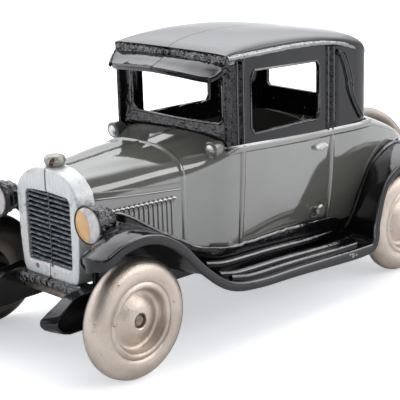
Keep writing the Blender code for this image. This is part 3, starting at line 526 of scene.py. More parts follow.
# Cab halves: roof, posts, quarters and rear wall in black enamel, with the brow, sun visor, drip rail
# and false landau iron cast on. The inside is bare black and open to the hollow body.
def black_enamel_finish(name, rough_cast, chips, index=1.42, coat=0.0, cab=False, worn=()):
    """Black gloss enamel: rough_cast sets how coarse the casting shows, chips how much has flaked."""
    material, shader, place = begin_finish(name)
    cloud = place.noise(35, 3)
    chip = place.noise(210, 5, 0.72).step(0.72 - chips, 0.735 - chips)
    for x, y, z, reach in worn:
        spot = place.near(x, y, z, reach, 1.2)
        chip = chip.sum("MAXIMUM", chip, (spot * (0.35 + place.noise(420, 3, 0.6))).step(0.62, 0.68))
    tone = cloud.step(0.45, 0.8).dab(rgb(0.005, 0.0052, 0.006), rgb(0.011, 0.0115, 0.013))
    rust = place.noise(1100, 3).step(0.35, 0.65).dab(rgb(0.2, 0.15, 0.13), rgb(0.46, 0.35, 0.31))
    if cab:
        x, y, z = (place.axis(number) for number in range(3))
        flank = abs(y).step(0.0285, 0.0295) * z.fall(0.1005, 0.102)
        post = x.step(0.0148, 0.0162) + x.fall(-0.0340, -0.0325) * x.step(-0.0405, -0.0395)
        rough_cast = post * flank + rough_cast
        coat = z.step(0.1025, 0.104) * coat
    feed(shader, Base_Color=chip.dab(tone, rust), Roughness=0.06 + cloud * 0.08 + chip * 0.5, IOR=index,
         Coat_Weight=coat, Coat_Roughness=0.06)
    lumps = (place.noise(300, 1, 0.5) + place.noise(720, 2) * 0.6) * 2.0 * rough_cast
    relief(lumps + place.noise(60, 2) * 0.3 - chip * 0.12 + place.noise(700, 2) * 0.05, 0.0006, shader)
    return material


black_enamel = black_enamel_finish("black_enamel_aged", 0.02, 0.0, coat=0.36, cab=True)

ROOF_WIDTH = [(-62, 30.8), (-72, 31.3), (-89, 31.6), (-112, 31.6), (-130, 31.7), (-138, 31.8), (-142, 31.5),
              (-144.6, 30.7), (-146.3, 29.2), (-147.1, 27.2), (-147.25, 26.2)]
ROOF_TOP = [(-60.4, 105.3), (-62, 106.0), (-65, 107.0), (-74.4, 108.5), (-85.9, 109.15), (-99.8, 108.9),
            (-114.2, 107.9), (-125, 106.5), (-139.2, 104.1), (-144, 102.5), (-146.3, 100.5), (-147.25, 98.4)]
EDGE_LINE = [(-60.4, 104.6), (-66, 104.9), (-95, 105.0), (-110, 104.3), (-124, 102.5), (-138, 99.0),
             (-144, 96.4), (-147.25, 93.4)]
WINDOW_TOP = [(-62, 97.5), (-73.4, 97.2), (-114.2, 95.8), (-138, 94.4), (-147.3, 91.0)]
WINDOW_SILL = [(-62, 73.5), (-73.8, 73.2), (-113.7, 72.4), (-147.3, 72.0)]
WINDOW_FRONT, WINDOW_REAR, REAR_WALL = -73.7, -113.9, -147.25
CORNER = 2.2
# Rear window: place round the edge of the rear wall, distance out, height
REAR_WINDOW = [(0, SEAM, 90.5), (16, 22.5, 90.2), (18, 25.0, 88.0), (30, 25.0, 76.2), (32, 23.8, 74.9),
               (37, SEAM, 74.6)]
# Door frame and pillar lines: middle, half width, how far proud
CAB_LINES = [(-69.6, 0.7, 0.35), (-67.6, 0.9, -0.9), (-121.2, 0.5, -0.6), (-119.6, 0.7, 0.3),
             (-122.6, 0.7, 0.3), (-124.4, 0.6, -0.7)]


def cab_point(x, v, side):
    """v 0 to 1 over the roof, 1 to 2 down to the window head, 2 to 3 the window, 3 to 4 down to the belt."""
    half, top, edge = flow(ROOF_WIDTH, x), flow(ROOF_TOP, x), flow(EDGE_LINE, x)
    if v <= 1:
        angle = v * pi / 2
        across = max(half * sin(angle) ** (2 / 3.4), SEAM)
        return Vector((x, across, edge + (top - edge) * max(cos(angle), 0) ** (2 / 2.4)))
    marks = [edge, flow(WINDOW_TOP, x), flow(WINDOW_SILL, x), flow(BELT_TOP, x) - 2.5]
    k = min(int(v - 1), 2)
    z = marks[k] + (marks[k + 1] - marks[k]) * (v - 1 - k)
    out = cast_lines(CAB_LINES, x) if x > -140 else 0.0
    if side < 0 and v == 3:
        z += ripple(x * 0.22, 3.1, 0) * 1.6
    if x in (WINDOW_FRONT, WINDOW_REAR) and v in (2, 3):
        x, z = x + (0.6 if x == WINDOW_REAR else -0.6), z + (0.6 if v == 3 else -0.6)
    return Vector((x, half - 0.15 + out, z))


def between(table, at):
    """Straight-line values in a table whose first column rises."""
    for near, far in zip(table, table[1:]):
        if at <= far[0] + 1e-6:
            break
    share = (at - near[0]) / (far[0] - near[0])
    return [a + (b - a) * share for a, b in zip(near[1:], far[1:])]


cab_columns = sorted({round(x, 3) for x in (
    steps(-60.6, (-62.2, 3), (-66.6, 4), (-70.6, 12))
    + steps(-71.8, (WINDOW_FRONT, 1), (WINDOW_FRONT - CORNER, 1), (WINDOW_REAR + CORNER, 14),
            (WINDOW_REAR, 1), (-118.6, 4), (-125.2, 20), (-138, 8), (-144.6, 8), (-146.3, 4),
            (REAR_WALL, 4)))})
cab_rows = steps(0.0, (1, 14), (2, 4), (2 + CORNER / 24, 1), (3 - CORNER / 24, 8), (3, 1), (4, 6))

for bm, side in halves("cab_shell", black_enamel, "cab_half", wall=1.7):
    add_skin(bm, cab_columns, cab_rows, lambda x, v: cab_point(x, v, side),
             lambda x, v: not (WINDOW_REAR < x < WINDOW_FRONT and 2 < v < 3))
    ring = [cab_point(REAR_WALL, v, side) for v in cab_rows]
    foot = ring[-1]
    ring += [Vector((REAR_WALL, y, foot.z)) for y in (foot.y * 0.65, foot.y * 0.3, SEAM)]

    def rear_wall_point(s, k):
        """From the rear edge of the cab at s 0 in to the rear window's opening at s 1."""
        y, z = between(REAR_WINDOW, k)
        return ring[k].lerp(Vector((REAR_WALL, y, z)), s)

    add_skin(bm, [0.0, 0.34, 0.67, 1.0], range(len(ring)), rear_wall_point, flip=True)
    bmesh.ops.remove_doubles(bm, verts=bm.verts, dist=0.01)

# Windshield frame: posts, header and a rough lower edge with casting flash where it meets the cowl,
# part of the black cab castings, with a worn bead round the opening. There is no glass.
FRAME_X = -62.6
FRAME_EDGE = [(SEAM, 103), (15, 102.8), (27, 102.2), (30.4, 101), (30.7, 95), (30.8, 85), (30.85, 76),
              (30.9, 69.5), (27, 71.3), (22, 72.2), (15, 72.9), (8, 73.3), (SEAM, 73.6)]
FRAME_HOLE = [(SEAM, 96.4), (15, 96.3), (23.5, 96.1), (25.4, 94.4), (25.6, 92), (25.6, 85), (25.6, 81),
              (25.4, 79.4), (23.4, 78.0), (20, 77.8), (15, 77.6), (8, 77.4), (SEAM, 77.3)]
black_rough = black_enamel_finish("black_enamel_rough_cast", 1.0, 0.02, 1.7)
black_edge = black_enamel_finish("black_enamel_edges", 0.12, 0.0, 2.0)


def frame_point(s, k, side):
    """Corner k round the frame from seam to seam, from the outer edge at s 0 to the opening at s 1."""
    outer, inner = (Vector((0, side * y, z)) for y, z in (FRAME_EDGE[k], FRAME_HOLE[k]))
    point = outer.lerp(inner, s)
    bulge = 0.55 * sin(s * pi) ** 0.5 if 0 < s < 1 else 0.0
    rough = ripple(*point * 0.55) * 0.5 + ripple(*point * 1.7) * 0.25
    back = (point.z - 73.5) * 0.28 if point.z < 78 else 1.2
    proud = rough * (1.0 if k >= 7 else 0.35) * (1 - 0.5 * s)
    return Vector((FRAME_X - max(back, 0) + bulge + proud, side * point.y, point.z + rough * 0.5 * (s == 0)))


def split(bm):
    """Halve every edge, so that the surface can carry more form."""
    bmesh.ops.subdivide_edges(bm, edges=bm.edges, cuts=1, use_grid_fill=True)


for bm, side in halves("windshield_frame", black_rough, wall=2.0):
    add_skin(bm, steps(0.0, (1, 8)), range(13), lambda s, k: frame_point(s, k, side))
    split(bm)
for bm, side in halves("windshield_bead", black_edge):
    add_bead(bm, [frame_point(0.95, k, side) for k in range(13)], (1, 0, 0), 0.9, 0.6)

# Brow and sun visor: a rough, pitted band under the roof's front edge, and the smooth visor below it
# with a curl at each end, cast with the cab halves in black enamel.
# Root and lip of the visor: y, root x and z, lip x and z
VISOR = [(SEAM, -59.8, 102.7, -51.0, 98.5), (15, -60.1, 102.5, -52.0, 97.7),
         (23, -60.6, 102.2, -53.3, 96.9), (26.6, -60.9, 101.9, -54.6, 96.6),
         (28.6, -61.2, 101.7, -56.2, 97.5), (29.8, -61.4, 101.6, -58.0, 99.1),
         (30.5, -61.6, 101.6, -59.8, 101.0), (30.9, -61.7, 101.6, -61.0, 101.5)]
# Round the visor's section, over the top and back below: share of the way to the lip, lift
VISOR_SECTION = [(0.0, -0.3), (0.12, 0.05), (0.5, 0.1), (0.88, 0.05), (0.95, 0.35), (1.0, 0.1),
                 (1.0, -1.3), (0.95, -1.9), (0.88, -1.8), (0.5, -1.4), (0.12, -1.4), (0.0, -1.6)]
CURL = [(-54.9, 27.6, 96.4), (-57.0, 29.3, 97.4), (-59.2, 30.4, 99.2), (-60.9, 30.9, 99.4),
        (-62.2, 31.0, 98.0), (-62.9, 31.1, 96.2)]
BROW = [(-63.0, 104.5), (-61.0, 104.6), (-60.2, 104.2), (-60.0, 103.4), (-59.9, 102.6), (-60.2, 101.4),
        (-63, 101.2)]
black_pitted = black_enamel_finish("black_enamel_pitted", 1.9, 0.02, 2.3)
black_smooth = black_enamel_finish("black_enamel_smooth", 0.04, 0.0, coat=0.25)


def visor_point(y, k):
    root_x, root_z, lip_x, lip_z = between(VISOR, y)
    share, lift = VISOR_SECTION[k % 12]
    under = 0.35 if k % 12 > 5 else 0
    return Vector((root_x + (lip_x - root_x) * share - under, y, root_z + (lip_z - root_z) * share + lift))


def brow_point(y, k):
    x, z = BROW[k % 7]
    rough = ripple(y * 0.9, k * 1.3, 5) * 0.7 + ripple(y * 2.3, k * 2.1, 9) * 0.45
    proud = 1.0 if 2 <= k % 7 <= 5 else 0.2
    corner = max(y - 28.5, 0) ** 2 * 0.22
    return Vector((x + rough * proud - corner, y, z + rough * 0.5 * proud))


for bm, _ in halves("sun_visor", black_smooth, edge=(0.2, 2)):
    add_solid(bm, steps(SEAM, (15, 6), (26.6, 8), (30.9, 10)), range(13), visor_point)
    add_bead(bm, CURL, (0.5, 0.8, 0.1), 2.1, 0.9)
for bm, _ in halves("roof_brow", black_pitted):
    add_solid(bm, steps(SEAM, (31.2, 64)), range(8), brow_point)

# Drip rail over the door and quarter, landau iron with its boss on the quarter, and worn edges of the
# iron, the door window and the pillars: all relief of the black cab castings.
RAIL_LINE = [(-60.4, 102.3), (-66, 102.4), (-95, 102.5), (-110, 102.1), (-124, 100.7), (-138, 96.6),
             (-144, 94.2), (-147.25, 91.5)]
LANDAU = [(-124.6, 98.0), (-127.6, 96.9), (-130.4, 93.2), (-132.0, 89.0), (-133.2, 85.6), (-133.5, 83.6),
          (-133.7, 81.4), (-134.8, 78.4), (-136.8, 74.6), (-139.2, 71.0), (-141.0, 68.6)]
LANDAU_WIDTHS = [2.4, 3.4, 3.8, 3.9, 3.7, 4.2, 3.2, 2.5, 2.2, 2.1, 2.8]
LANDAU_BOSS = [(0, -0.4), (1.9, -0.3), (1.8, 0.5), (1.2, 1.1), (0, 1.3)]
PILLARS = (-66.3, -69.3, -119.6, -123.2)
black_rail = black_enamel_finish("black_enamel_rail", 0.45, 0.02, 2.9)


def finer(line, count):
    """More points on a smooth curve through a line of points."""
    points = []
    for i in range(len(line) - 1):
        p0, p1 = Vector(line[max(i - 1, 0)]), Vector(line[i])
        p2, p3 = Vector(line[i + 1]), Vector(line[min(i + 2, len(line) - 1)])
        for k in range(count):
            t = k / count
            points.append(0.5 * (2 * p1 + (p2 - p0) * t + (2 * p0 - 5 * p1 + 4 * p2 - p3) * t * t
                                 + (3 * p1 - p0 - 3 * p2 + p3) * t**3))
    return points + [Vector(line[-1])]


def add_turned(bm, profile, centre, axis, turns=64):
    """Spin a profile of (radius, distance along the axis) pairs about an axis through centre."""
    axis = Vector(axis).normalized()
    across = axis.orthogonal().normalized()
    verts = [bm.verts.new(Vector(centre) + across * radius + axis * along) for radius, along in profile]
    edges = [bm.edges.new(pair) for pair in zip(verts, verts[1:])]
    bmesh.ops.spin(bm, geom=verts + edges, cent=centre, axis=axis, angle=2 * pi, steps=turns, use_merge=True)
    bmesh.ops.remove_doubles(bm, verts=bm.verts, dist=0.0005)
    bmesh.ops.recalc_face_normals(bm, faces=bm.faces)


def on_cab(line, sunk=0.2):
    """Points on the cab's side along a line of (x, z) pairs."""
    return [(x, flow(ROOF_WIDTH, x) - sunk, z) for x, z in line]


landau_line = finer(LANDAU, 6)
landau_widths = [between(list(enumerate(LANDAU_WIDTHS)), k / 6)[0] for k in range(len(landau_line))]

for bm, side in halves("drip_rail", black_rail):
    rail, widths, heights = [], [], []
    for x in steps(-61.4, (-125, 40), (-137, 10)):
        high, low = flow(EDGE_LINE, x), flow(RAIL_LINE, x)
        wave = ripple(x * 0.5, side, 2) * 0.18
        taper = min((x + 138.5) / 9, 1.0)
        rail.append((x, flow(ROOF_WIDTH, x) - 0.2 + wave, (high + low) / 2 + wave))
        widths.append((high - low) * (0.35 + 0.65 * taper))
        heights.append(0.95 * taper)
    add_bead(bm, rail, (0, 1, 0.45), widths, heights, turns=12)
for bm, _ in halves("landau_iron", black_enamel):
    add_bead(bm, on_cab(landau_line), (0, 1, 0), landau_widths, 0.85, turns=10)
    add_turned(bm, LANDAU_BOSS, (-133.5, 31.3, 83.8), (0, 1, 0), 20)
for bm, _ in halves("cab_edge_beads", black_edge):
    for shift in (-1, 1):
        edge = [(x + shift * 0.36 * width, y + 0.35, z - shift * 0.1 * width)
                for (x, y, z), width in zip(on_cab(landau_line), landau_widths)]
        add_bead(bm, edge, (0, 1, 0), 0.7, 0.75)
    a, b = WINDOW_FRONT, WINDOW_REAR
    loop = [(a + 0.2, 75.5), (a + 0.2, 95), (a - 1.6, 97.5), (-94, 96.8), (b + 1.6, 96.1), (b - 0.2, 94),
            (b - 0.2, 74.6), (b + 1.6, 72.2), (-94, 72.7), (a - 1.6, 73), (a + 0.2, 75.5)]
    add_bead(bm, on_cab(loop, 0.25), (0, 1, 0), 1.0, 0.5)
    for x in PILLARS:
        line = [(x, z) for z in steps(69.5, (flow(RAIL_LINE, x) - 0.4, 12))]
        add_bead(bm, on_cab(line), (0, 1, 0), 0.8, 0.45)


# Fenders: front fender, running board with tread ribs, splash apron and rear fender, one black
# casting on each side of the car, with a turned-down lip all along the outer edge.
TYRE, WHEELBASE = 22.0, 155.0
LIP = 49.3
# Round the front wheel and the rear wheel: angle, gap from tyre to lip, extra at the inner edge, inner y
FRONT_ARCH = [(52.5, 11.6, -1.0, 36.0), (60, 10.4, -1.0, 34.0), (73, 10.0, -0.9, 34.6),
              (89, 9.4, -0.4, 35.5), (101, 8.9, 0, 31.5), (112, 8.4, 0, 18.7), (130, 7.8, 0, 19.7),
              (160, 11.0, 0, 21.4)]
REAR_ARCH = [(14, 4.4, -6.6, 31.6), (48, 6.7, -7.6, 32.6), (76, 6.7, -2.0, 32.8), (105, 6.1, 4.0, 32.6),
             (134, 5.2, 6.2, 30.8), (165, 3.6, 2.2, 27.6)]
# Running board between them: x, height, inner y, and its last point along the inner edge
BOARD_LINE = [(-43, 25, 23.6), (-58, 22.0, 28.6), (-80, 21.0, 28.9), (-121.2, 18.9, 29.2),
              (-128.2, 20.0, 29.6)]
BOARD_INNER_END = (-131, 19.8, 29.4)
LIP_DEPTH = [(22, 3.9), (8, 3.5), (-15, 3.0), (-52, 3.0), (-80, 3.3), (-121, 4.0), (-129, 3.4),
             (-134, 3.0)]
# How domed the crown is, and how far the nose rolls down at its inner edge
CROWN = [(-42, 1.0), (-52, 0.25), (-126, 0.25), (-132, 1.0)]
NOSE_ROLL = [(22, 2.0), (12, 1.6), (6, 0.0)]
# Sections of the fender's turned-down nose: place along the line, how far the surface has dropped
NOSE = [(0.0, 6.0), (0.0, 2.0), (0.1, 1.0), (0.35, 0.3), (0.9, 0.0), (1.6, 0.0), (2.5, 0.0)]
# Tread ribs: distance out, rise above the board at the front end, width
RIBS = [(31.0, 3.4, 3.0), (38.2, 1.0, 2.8), (44.6, 1.0, 1.8)]
# Spots where the lip is worn down to rust: x, y, z, reach
WORN = [(-112.2, 49.3, 18.2, 0.2), (-114.0, 49.3, 17.6, 0.6), (-116.1, 49.3, 17.3, 0.1),
        (-141.0, 49.3, 48.0, 0.6), (-142.8, 49.3, 49.4, 0.3)]
black_fender = black_enamel_finish("black_enamel_fender", 0.05, 0.015, 1.46, worn=WORN)


def fender_line(inner):
    """Lip or inner edge from nose to tail as (x, z, inner y)."""
    def arch(axle_x, rows):
        points = []
        for angle, gap, extra, inner_y in rows:
            reach = TYRE + gap + (extra if inner else 0)
            points.append((axle_x + reach * cos(radians(angle)), TYRE + reach * sin(radians(angle)), inner_y))
        return points

    board = BOARD_LINE[:-1] + [BOARD_INNER_END if inner else BOARD_LINE[-1]]
    return finer(arch(0, FRONT_ARCH) + board + arch(-WHEELBASE, REAR_ARCH), 5)


lip_line, inner_line = fender_line(False), fender_line(True)


def on_line(line, place):
    low = max(0, min(int(place), len(line) - 2))
    return line[low].lerp(line[low + 1], place - low)


def drawn_in(place, radius):
    """How far a rounded corner of this radius draws in, by the distance from the nose."""
    left = max(radius - place * 0.9, 0.0)
    return radius - sqrt(radius * radius - left * left)


def fender_point(column, k):
    """Corner k of a section: up the lip, over the crown, up the splash apron and back below."""
    place, drop = column

    def outward(line):
        a, b = on_line(line, max(place - 0.6, 0)), on_line(line, min(place + 0.6, len(line) - 1))
        return Vector((b[1] - a[1], a[0] - b[0])).normalized()

    lip, inner = on_line(lip_line, place), on_line(inner_line, place)
    out, inner_out = outward(lip_line), outward(inner_line)
    lip_y = LIP - drawn_in(place, 4.4)
    y_in = inner[2] + drawn_in(place, 4.0)
    depth = flow(LIP_DEPTH, lip[0])
    crown = flow(CROWN, lip[0])

    def at(share, lift, y=None, back=0.0):
        low, high = (on_line(line, max(place, back)) for line in (lip_line, inner_line))
        if lift > 0:
            lift *= crown
        fall = max(min(drop, lift + depth), 0)
        if y is None:
            y = lip_y + (y_in - lip_y) * share
        return (low[0] + (high[0] - low[0]) * share + out[0] * lift, y,
                low[1] + (high[1] - low[1]) * share + out[1] * lift - fall)

    roll = flow(NOSE_ROLL, inner[0])
    edge = 0.9 - roll * 1.75
    ledge = 1.4 * (1 - roll * 0.45)
    top = (inner[0] + inner_out[0] * edge, y_in,
           inner[1] + inner_out[1] * edge - max(min(drop, edge + depth), 0))
    apron = flow(SILL, inner[0]) + 0.2
    if -134 < inner[0] < -9.5 and apron - inner[1] > 0.9:
        top = (inner[0], y_in, apron)
    points = (
        at(0, -depth, lip_y - 0.5), at(0, 0.4 - depth, lip_y), at(0, -1.2, lip_y), at(0, -0.3, lip_y - 0.25),
        at(0.03, 0.1), at(0.16, 0.75), at(0.32, 1.15), at(0.5, 1.35), at(0.7, 1.15 - roll * 0.25),
        at(0.9, 0.5 - roll * 0.6), at(0.975, 0.2 - roll), at(1, 0.35 - roll * 1.3, y_in + 0.1),
        top, (top[0], y_in - ledge, top[2]),
        at(1, -1.5 - roll * 0.9, y_in - ledge, 1.5), at(0.7, -0.35, None, 1.5), at(0.32, -0.35, None, 1.5),
        at(0, -1.5, lip_y - 1.4, 1.5), at(0, -depth, lip_y - 1.3, 1.5))
    return Vector(points[k % len(points)])


fender_columns = NOSE + [(float(i), 0.0) for i in range(3, len(lip_line))]
for bm, _ in halves("fender_casting", black_fender, "fender", edge=(0.35, 2)):
    add_solid(bm, fender_columns, range(20), fender_point)

for bm, side in halves("board_ribs", black_edge):
    for y, rise, width in RIBS:
        path = []
        for x in steps(-46.5, (-60, 10), (-121.5, 24)):
            lift = rise * (1 + x * 0.0016) + (0.6 if y < 32 else 0.3)
            path.append((x, y, flow(BOARD_LINE, x) + lift))
        add_bead(bm, path, (0, 0.15, 1), width, 0.8, 2.4, turns=12)
    welt = []
    for x in steps(-13, (-47, 24), (-127, 60)):
        sill = flow(SILL, x)
        wave = ripple(x * 0.35, side, 4) * 0.5
        welt.append((x, side_y(x, sill + 1) + 0.5, sill + 0.1 + wave))
    add_bead(bm, welt, (0, 1, 0.6), 1.4, 0.6)
    rim = [(x, y + 0.4, z + 0.5) for x, z, y in inner_line if x < -131.8]
    add_bead(bm, rim, (0.6, 0.7, 0.5), 1.3, 0.7)
    brim, brim_normals = [], []
    for before, point, after in zip(lip_line[4:], lip_line[5:], lip_line[6:]):
        out = Vector((after[1] - before[1], before[0] - after[0])).normalized()
        brim.append((point[0] + out[0] * 0.05, LIP - 0.5, point[1] + out[1] * 0.05))
        brim_normals.append((out[0], 0.8, out[1]))
    add_bead(bm, brim, brim_normals, 0.8, 0.35)


# Frame halves: side plate with axle bosses, spring horn and the rough front apron, cast in black
# under the fenders. The steel axles turn in the bosses.
PLATE = [(4.2, 28.4), (-1.6, 28.4), (-2.4, 43), (-6.8, 46), (-14, 46), (-22, 42), (-30, 37), (-42, 30),
         (-50, 27), (-133, 24), (-141, 40), (-167, 43), (-180, 40), (-180, 20), (-161, 15.5), (-149, 15.5),
         (-139, 18), (-30, 20), (-6, 15.5), (4.2, 15.5)]
HORN = [(-2, 16), (9, 15.1), (14.5, 15.2), (18.5, 16.2), (21.2, 17.7), (22.6, 19.2), (23.0, 20.6),
        (22.4, 22.0), (19.5, 23.6), (15.5, 25.4), (11, 27.9), (-2, 29.2)]
BOSS_FOOT = 18.3
BOSS = [(6.0, 0), (6.0, 2.6), (3.9, 6.2), (3.8, 18.3), (2.1, 18.3), (2.1, -0.8)]


def add_slab(bm, outline, y_from, y_to):
    """A flat plate from an outline of (x, z) pairs between two distances from the centre."""
    face = bm.faces.new([bm.verts.new((x, y_from, z)) for x, z in outline])
    moved = bmesh.ops.extrude_face_region(bm, geom=[face])["geom"]
    raised = [item for item in moved if isinstance(item, bmesh.types.BMVert)]
    bmesh.ops.translate(bm, vec=(0, y_to - y_from, 0), verts=raised)
    bmesh.ops.recalc_face_normals(bm, faces=bm.faces)


def apron_point(u, k):
    """Front apron between the radiator and the horn: u from the seam outward, k round the section."""
    drop = 24.6 - 1.2 * sin(u * pi * 0.5) ** 2 if u < 0.75 else 23.6 - (u - 0.75) * 14
    section = [(-4, 28.8), (2.6, 28.6), (4.4, 28.2), (5.2, 27.0), (5.0, drop + 1.0), (3.8, drop), (0, drop),
               (-4, drop)]
    x, z = section[k % 8]
    point = Vector((x, SEAM + u * 20, z))
    rough = ripple(*point * 0.6) * 0.7 + ripple(*point * 1.9) * 0.35
    proud = rough if k % 8 in (1, 2, 3, 4, 5) else 0.0
    return Vector((x + proud, point.y, z + proud * 0.6))


for bm, _ in halves("frame_plate", black_fender, "frame_half", edge=(0.7, 3)):
    add_slab(bm, PLATE, 17.8, 20.0)
    add_slab(bm, HORN, 17.4, 23.5)
    for vert in bm.verts:
        if vert.co.x > 12 and vert.co.y > 20:
            vert.co.x -= (vert.co.x - 12) * 0.3
for bm, _ in halves("axle_bosses", black_rough):
    for axle_x in (0, -WHEELBASE):
        add_turned(bm, BOSS, (axle_x, BOSS_FOOT, TYRE), (0, 1, 0), 32)
for bm, _ in halves("front_apron", black_pitted, fair=True):
    add_solid(bm, steps(0.0, (1, 22)), range(9), apron_point)


# Radiator halves: cast shells brushed with aluminium paint, which is rubbed over the black slats too.
# They sit on the frame's apron and against the hood, and meet at the centre seam.
def aluminium_finish():
    """Aluminium paint: fine vertical brush marks, dull patches, and chips down to red primer."""
    material, shader, place = begin_finish("aluminium_paint_brushed")
    brush = place.make("ShaderNodeMapping", {"Vector": place, "Scale": (1.0, 1.0, 0.12)}).noise(1500, 3, 0.6)
    patch = place.noise(160, 4, 0.65)
    spots = (place.near(2.7, -7.5, 31.5, 0.8, 0.7) + place.near(2.7, 1.2, 33.5, 0.7, 0.6)
             + place.near(2.7, 0.0, 28.5, 0.6, 0.8))
    chip = (spots * (0.6 + patch)).step(0.75, 0.95)
    chip = chip.sum("MAXIMUM", chip, patch.step(0.71, 0.73))
    tone = brush.step(0.3, 0.75).dab(rgb(0.62, 0.645, 0.64), rgb(0.78, 0.80, 0.80))
    tone = patch.step(0.55, 0.7).dab(tone, rgb(0.42, 0.43, 0.42))
    feed(shader, Base_Color=chip.dab(tone, rgb(0.28, 0.13, 0.12)), Metallic=0.3 - chip * 0.3,
         Roughness=0.38 + brush * 0.2 + chip * 0.2)
    relief(brush * 0.35 + patch * 0.3 - chip * 0.3, 0.00025, shader)
    return material


aluminium_paint = aluminium_finish()
slat_finish = mottled_finish("slats_black_rubbed_silver", "black_enamel", (700, 4, 0.65), (0.4, 0.62),
                             (rgb(0.045, 0.05, 0.058), rgb(0.24, 0.26, 0.29)), (0.25, 0.3), 0.00024,
                             metal=(0.0, 0.5))
SHELL_OUTER = [(SEAM, 69.8), (4, 69.5), (7.5, 68.8), (10.5, 67.5), (13, 66), (15.2, 63.9), (16.6, 61.8),
               (17.3, 59), (17.4, 54), (17.2, 48), (16.8, 41), (16.3, 35), (15.7, 30.6), (14.6, 28.7),
               (12.6, 28), (8, 27.9), (4, 27.8), (SEAM, 27.7)]
SHELL_INNER = [(SEAM, 61.0), (3, 60.9), (6, 60.8), (9, 60.6), (11.4, 60.3), (12.3, 59.6), (12.7, 58.4),
               (12.7, 55), (12.7, 51), (12.7, 46), (12.6, 41), (12.5, 37), (12.4, 34.6), (12.0, 33.5),
               (10, 33.3), (7, 33.4), (4, 33.5), (SEAM, 33.6)]
SHELL_FACE, SHELL_FLARE = 2.3, 0.5
SLATS, SLAT_FOOT = 15, 34.2
SLAT_PITCH = 27.2 / SLATS


def shell_point(s, k):
    """Radiator shell: s 0 to 1 forward along the side, 1 to 2 over the face, 2 to 3 into the grille."""
    outer, inner = Vector(SHELL_OUTER[k]), Vector(SHELL_INNER[k])
    if s <= 1:
        wide = outer + (outer - Vector((0, 50))).normalized() * SHELL_FLARE * (1 - s)
        return Vector((HOOD_FRONT + 7.3 * s, max(wide[0], SEAM), wide[1]))
    if s <= 2:
        edge = outer.lerp(inner, max(min((s - 1) * 1.06 - 0.03, 1), 0))
        crown = 0.45 * min(1, sin((s - 1) * pi) * 2.2)
        return Vector((SHELL_FACE + crown, max(edge[0], SEAM + (0.3 if edge[1] > 61 else 0.1)), edge[1]))
    return Vector((SHELL_FACE - 1.5 * (s - 2), max(inner[0], SEAM + 0.1), inner[1]))


def backing_point(u, v, side):
    return Vector((0.4 + ripple(u * 5, v * 9, side) * 0.15, SEAM + (u + 1) / 2 * 12.9, 47.2 + v * 14.2))


for bm, _ in halves("radiator_shell", aluminium_paint, "radiator_half", wall=1.2):
    add_skin(bm, steps(0.0, (1, 3), (1.08, 2), (1.92, 6), (2, 2), (3, 1)), range(18), shell_point)
    split(bm)
for bm, side in halves("radiator_slats", slat_finish):
    for index in range(SLATS):
        path = []
        for y in steps(0.45, (12.9 if index < SLATS - 1 else 12.2, 12)):
            wave = ripple(y * 0.3, index * 3.7, side) * 0.3
            path.append((1.0 + wave * 0.3, y, SLAT_FOOT + index * SLAT_PITCH + wave - 0.02 * y * side))
        width = SLAT_PITCH * (0.66 + 0.1 * ripple(index * 1.3, side, 0))
        add_bead(bm, path, (1, 0, 0.2), width, 0.9, 0.9, 10)
    if side > 0:
        seam_line = [(1.5, 0.25 * ripple(z * 0.6, 1, 2) + 0.15 * ripple(z * 2.3, 5, 2), z)
                     for z in steps(34, (60.6, 50))]
        add_bead(bm, seam_line, (1, 0.3, 0), 0.5, 0.5, turns=6)
for bm, side in halves("radiator_backing", black_fender, wall=0.6):
    add_skin(bm, steps(-1.0, (1, 8)), steps(-1.0, (1, 12)), lambda u, v: backing_point(u, v, side))


# Radiator cap: small rough nickel casting pressed into the seam on top of the radiator, with a dark
# disc at the front for the mouth of the filler, its colour rust and painted shade of the hole.
def nickel_finish(name, tone_a, tone_b, roughness, pits):
    """Worn nickel plate on cast iron: warm grey, cloudy, with fine pits that hold brown tarnish, and painted
    shade on the inner side of a wheel.
    """
    material, shader, place = begin_finish(name)
    cloud = place.noise(70, 4, 0.6)
    pit = place.noise(620, 4, 0.8).step(0.66 - pits, 0.72 - pits)
    tone = (cloud.step(0.35, 0.75) * 0.7).dab(tone_a, tone_b)
    tone = pit.dab(tone, rgb(0.17, 0.115, 0.085))
    # Painted shade: the inner side of each wheel is coloured near black.
    out = abs(place.axis(1))
    wheel_back_painted_shade = out.step(0.0365, 0.037) * out.fall(0.039, 0.0405)
    feed(shader, Base_Color=(wheel_back_painted_shade * 0.85).dab(tone, rgb(0.04, 0.034, 0.03)),
         Metallic=0.92 - pit * 0.5, Roughness=roughness + cloud * 0.12 + pit * 0.25)
    relief(place.noise(1300, 3, 0.7) * 0.5 + cloud * 0.4 - pit * 0.4, 0.0004, shader)
    return material


cap_finish = nickel_finish("nickel_rough", rgb(0.42, 0.40, 0.36), rgb(0.22, 0.2, 0.18), 0.38, 0.08)
# Rust and painted shade: the dark disc stands in for the shaded hole of the filler.
rust_and_shade_finish = mottled_finish("cap_slot_rust_and_painted_shade", "black_enamel", (1400, 3, 0.6), (0.35, 0.7),
                             (rgb(0.035, 0.02, 0.014), rgb(0.16, 0.085, 0.05)), (0.6, 0.3), 0.0003)
CAP_FOOT, CAP_MIDDLE, CAP_TOP = Vector((-2.3, 0, 69.4)), Vector((-2.3, 0, 71.5)), 74.2
CAP = [(0, 0), (2.9, 0), (3.1, 0.5), (3.7, 1.5), (4.0, 2.6), (3.8, 3.5), (3.1, 4.3), (1.7, 4.7), (0, 4.75)]
SLOT_AT = (0.95, 2.3, 72.0)
SLOT = [(0, 0.0), (0.9, 0.05), (1.35, 0.35), (1.6, 0.3), (1.7, -0.2), (1.6, -1.4), (0, -1.4)]

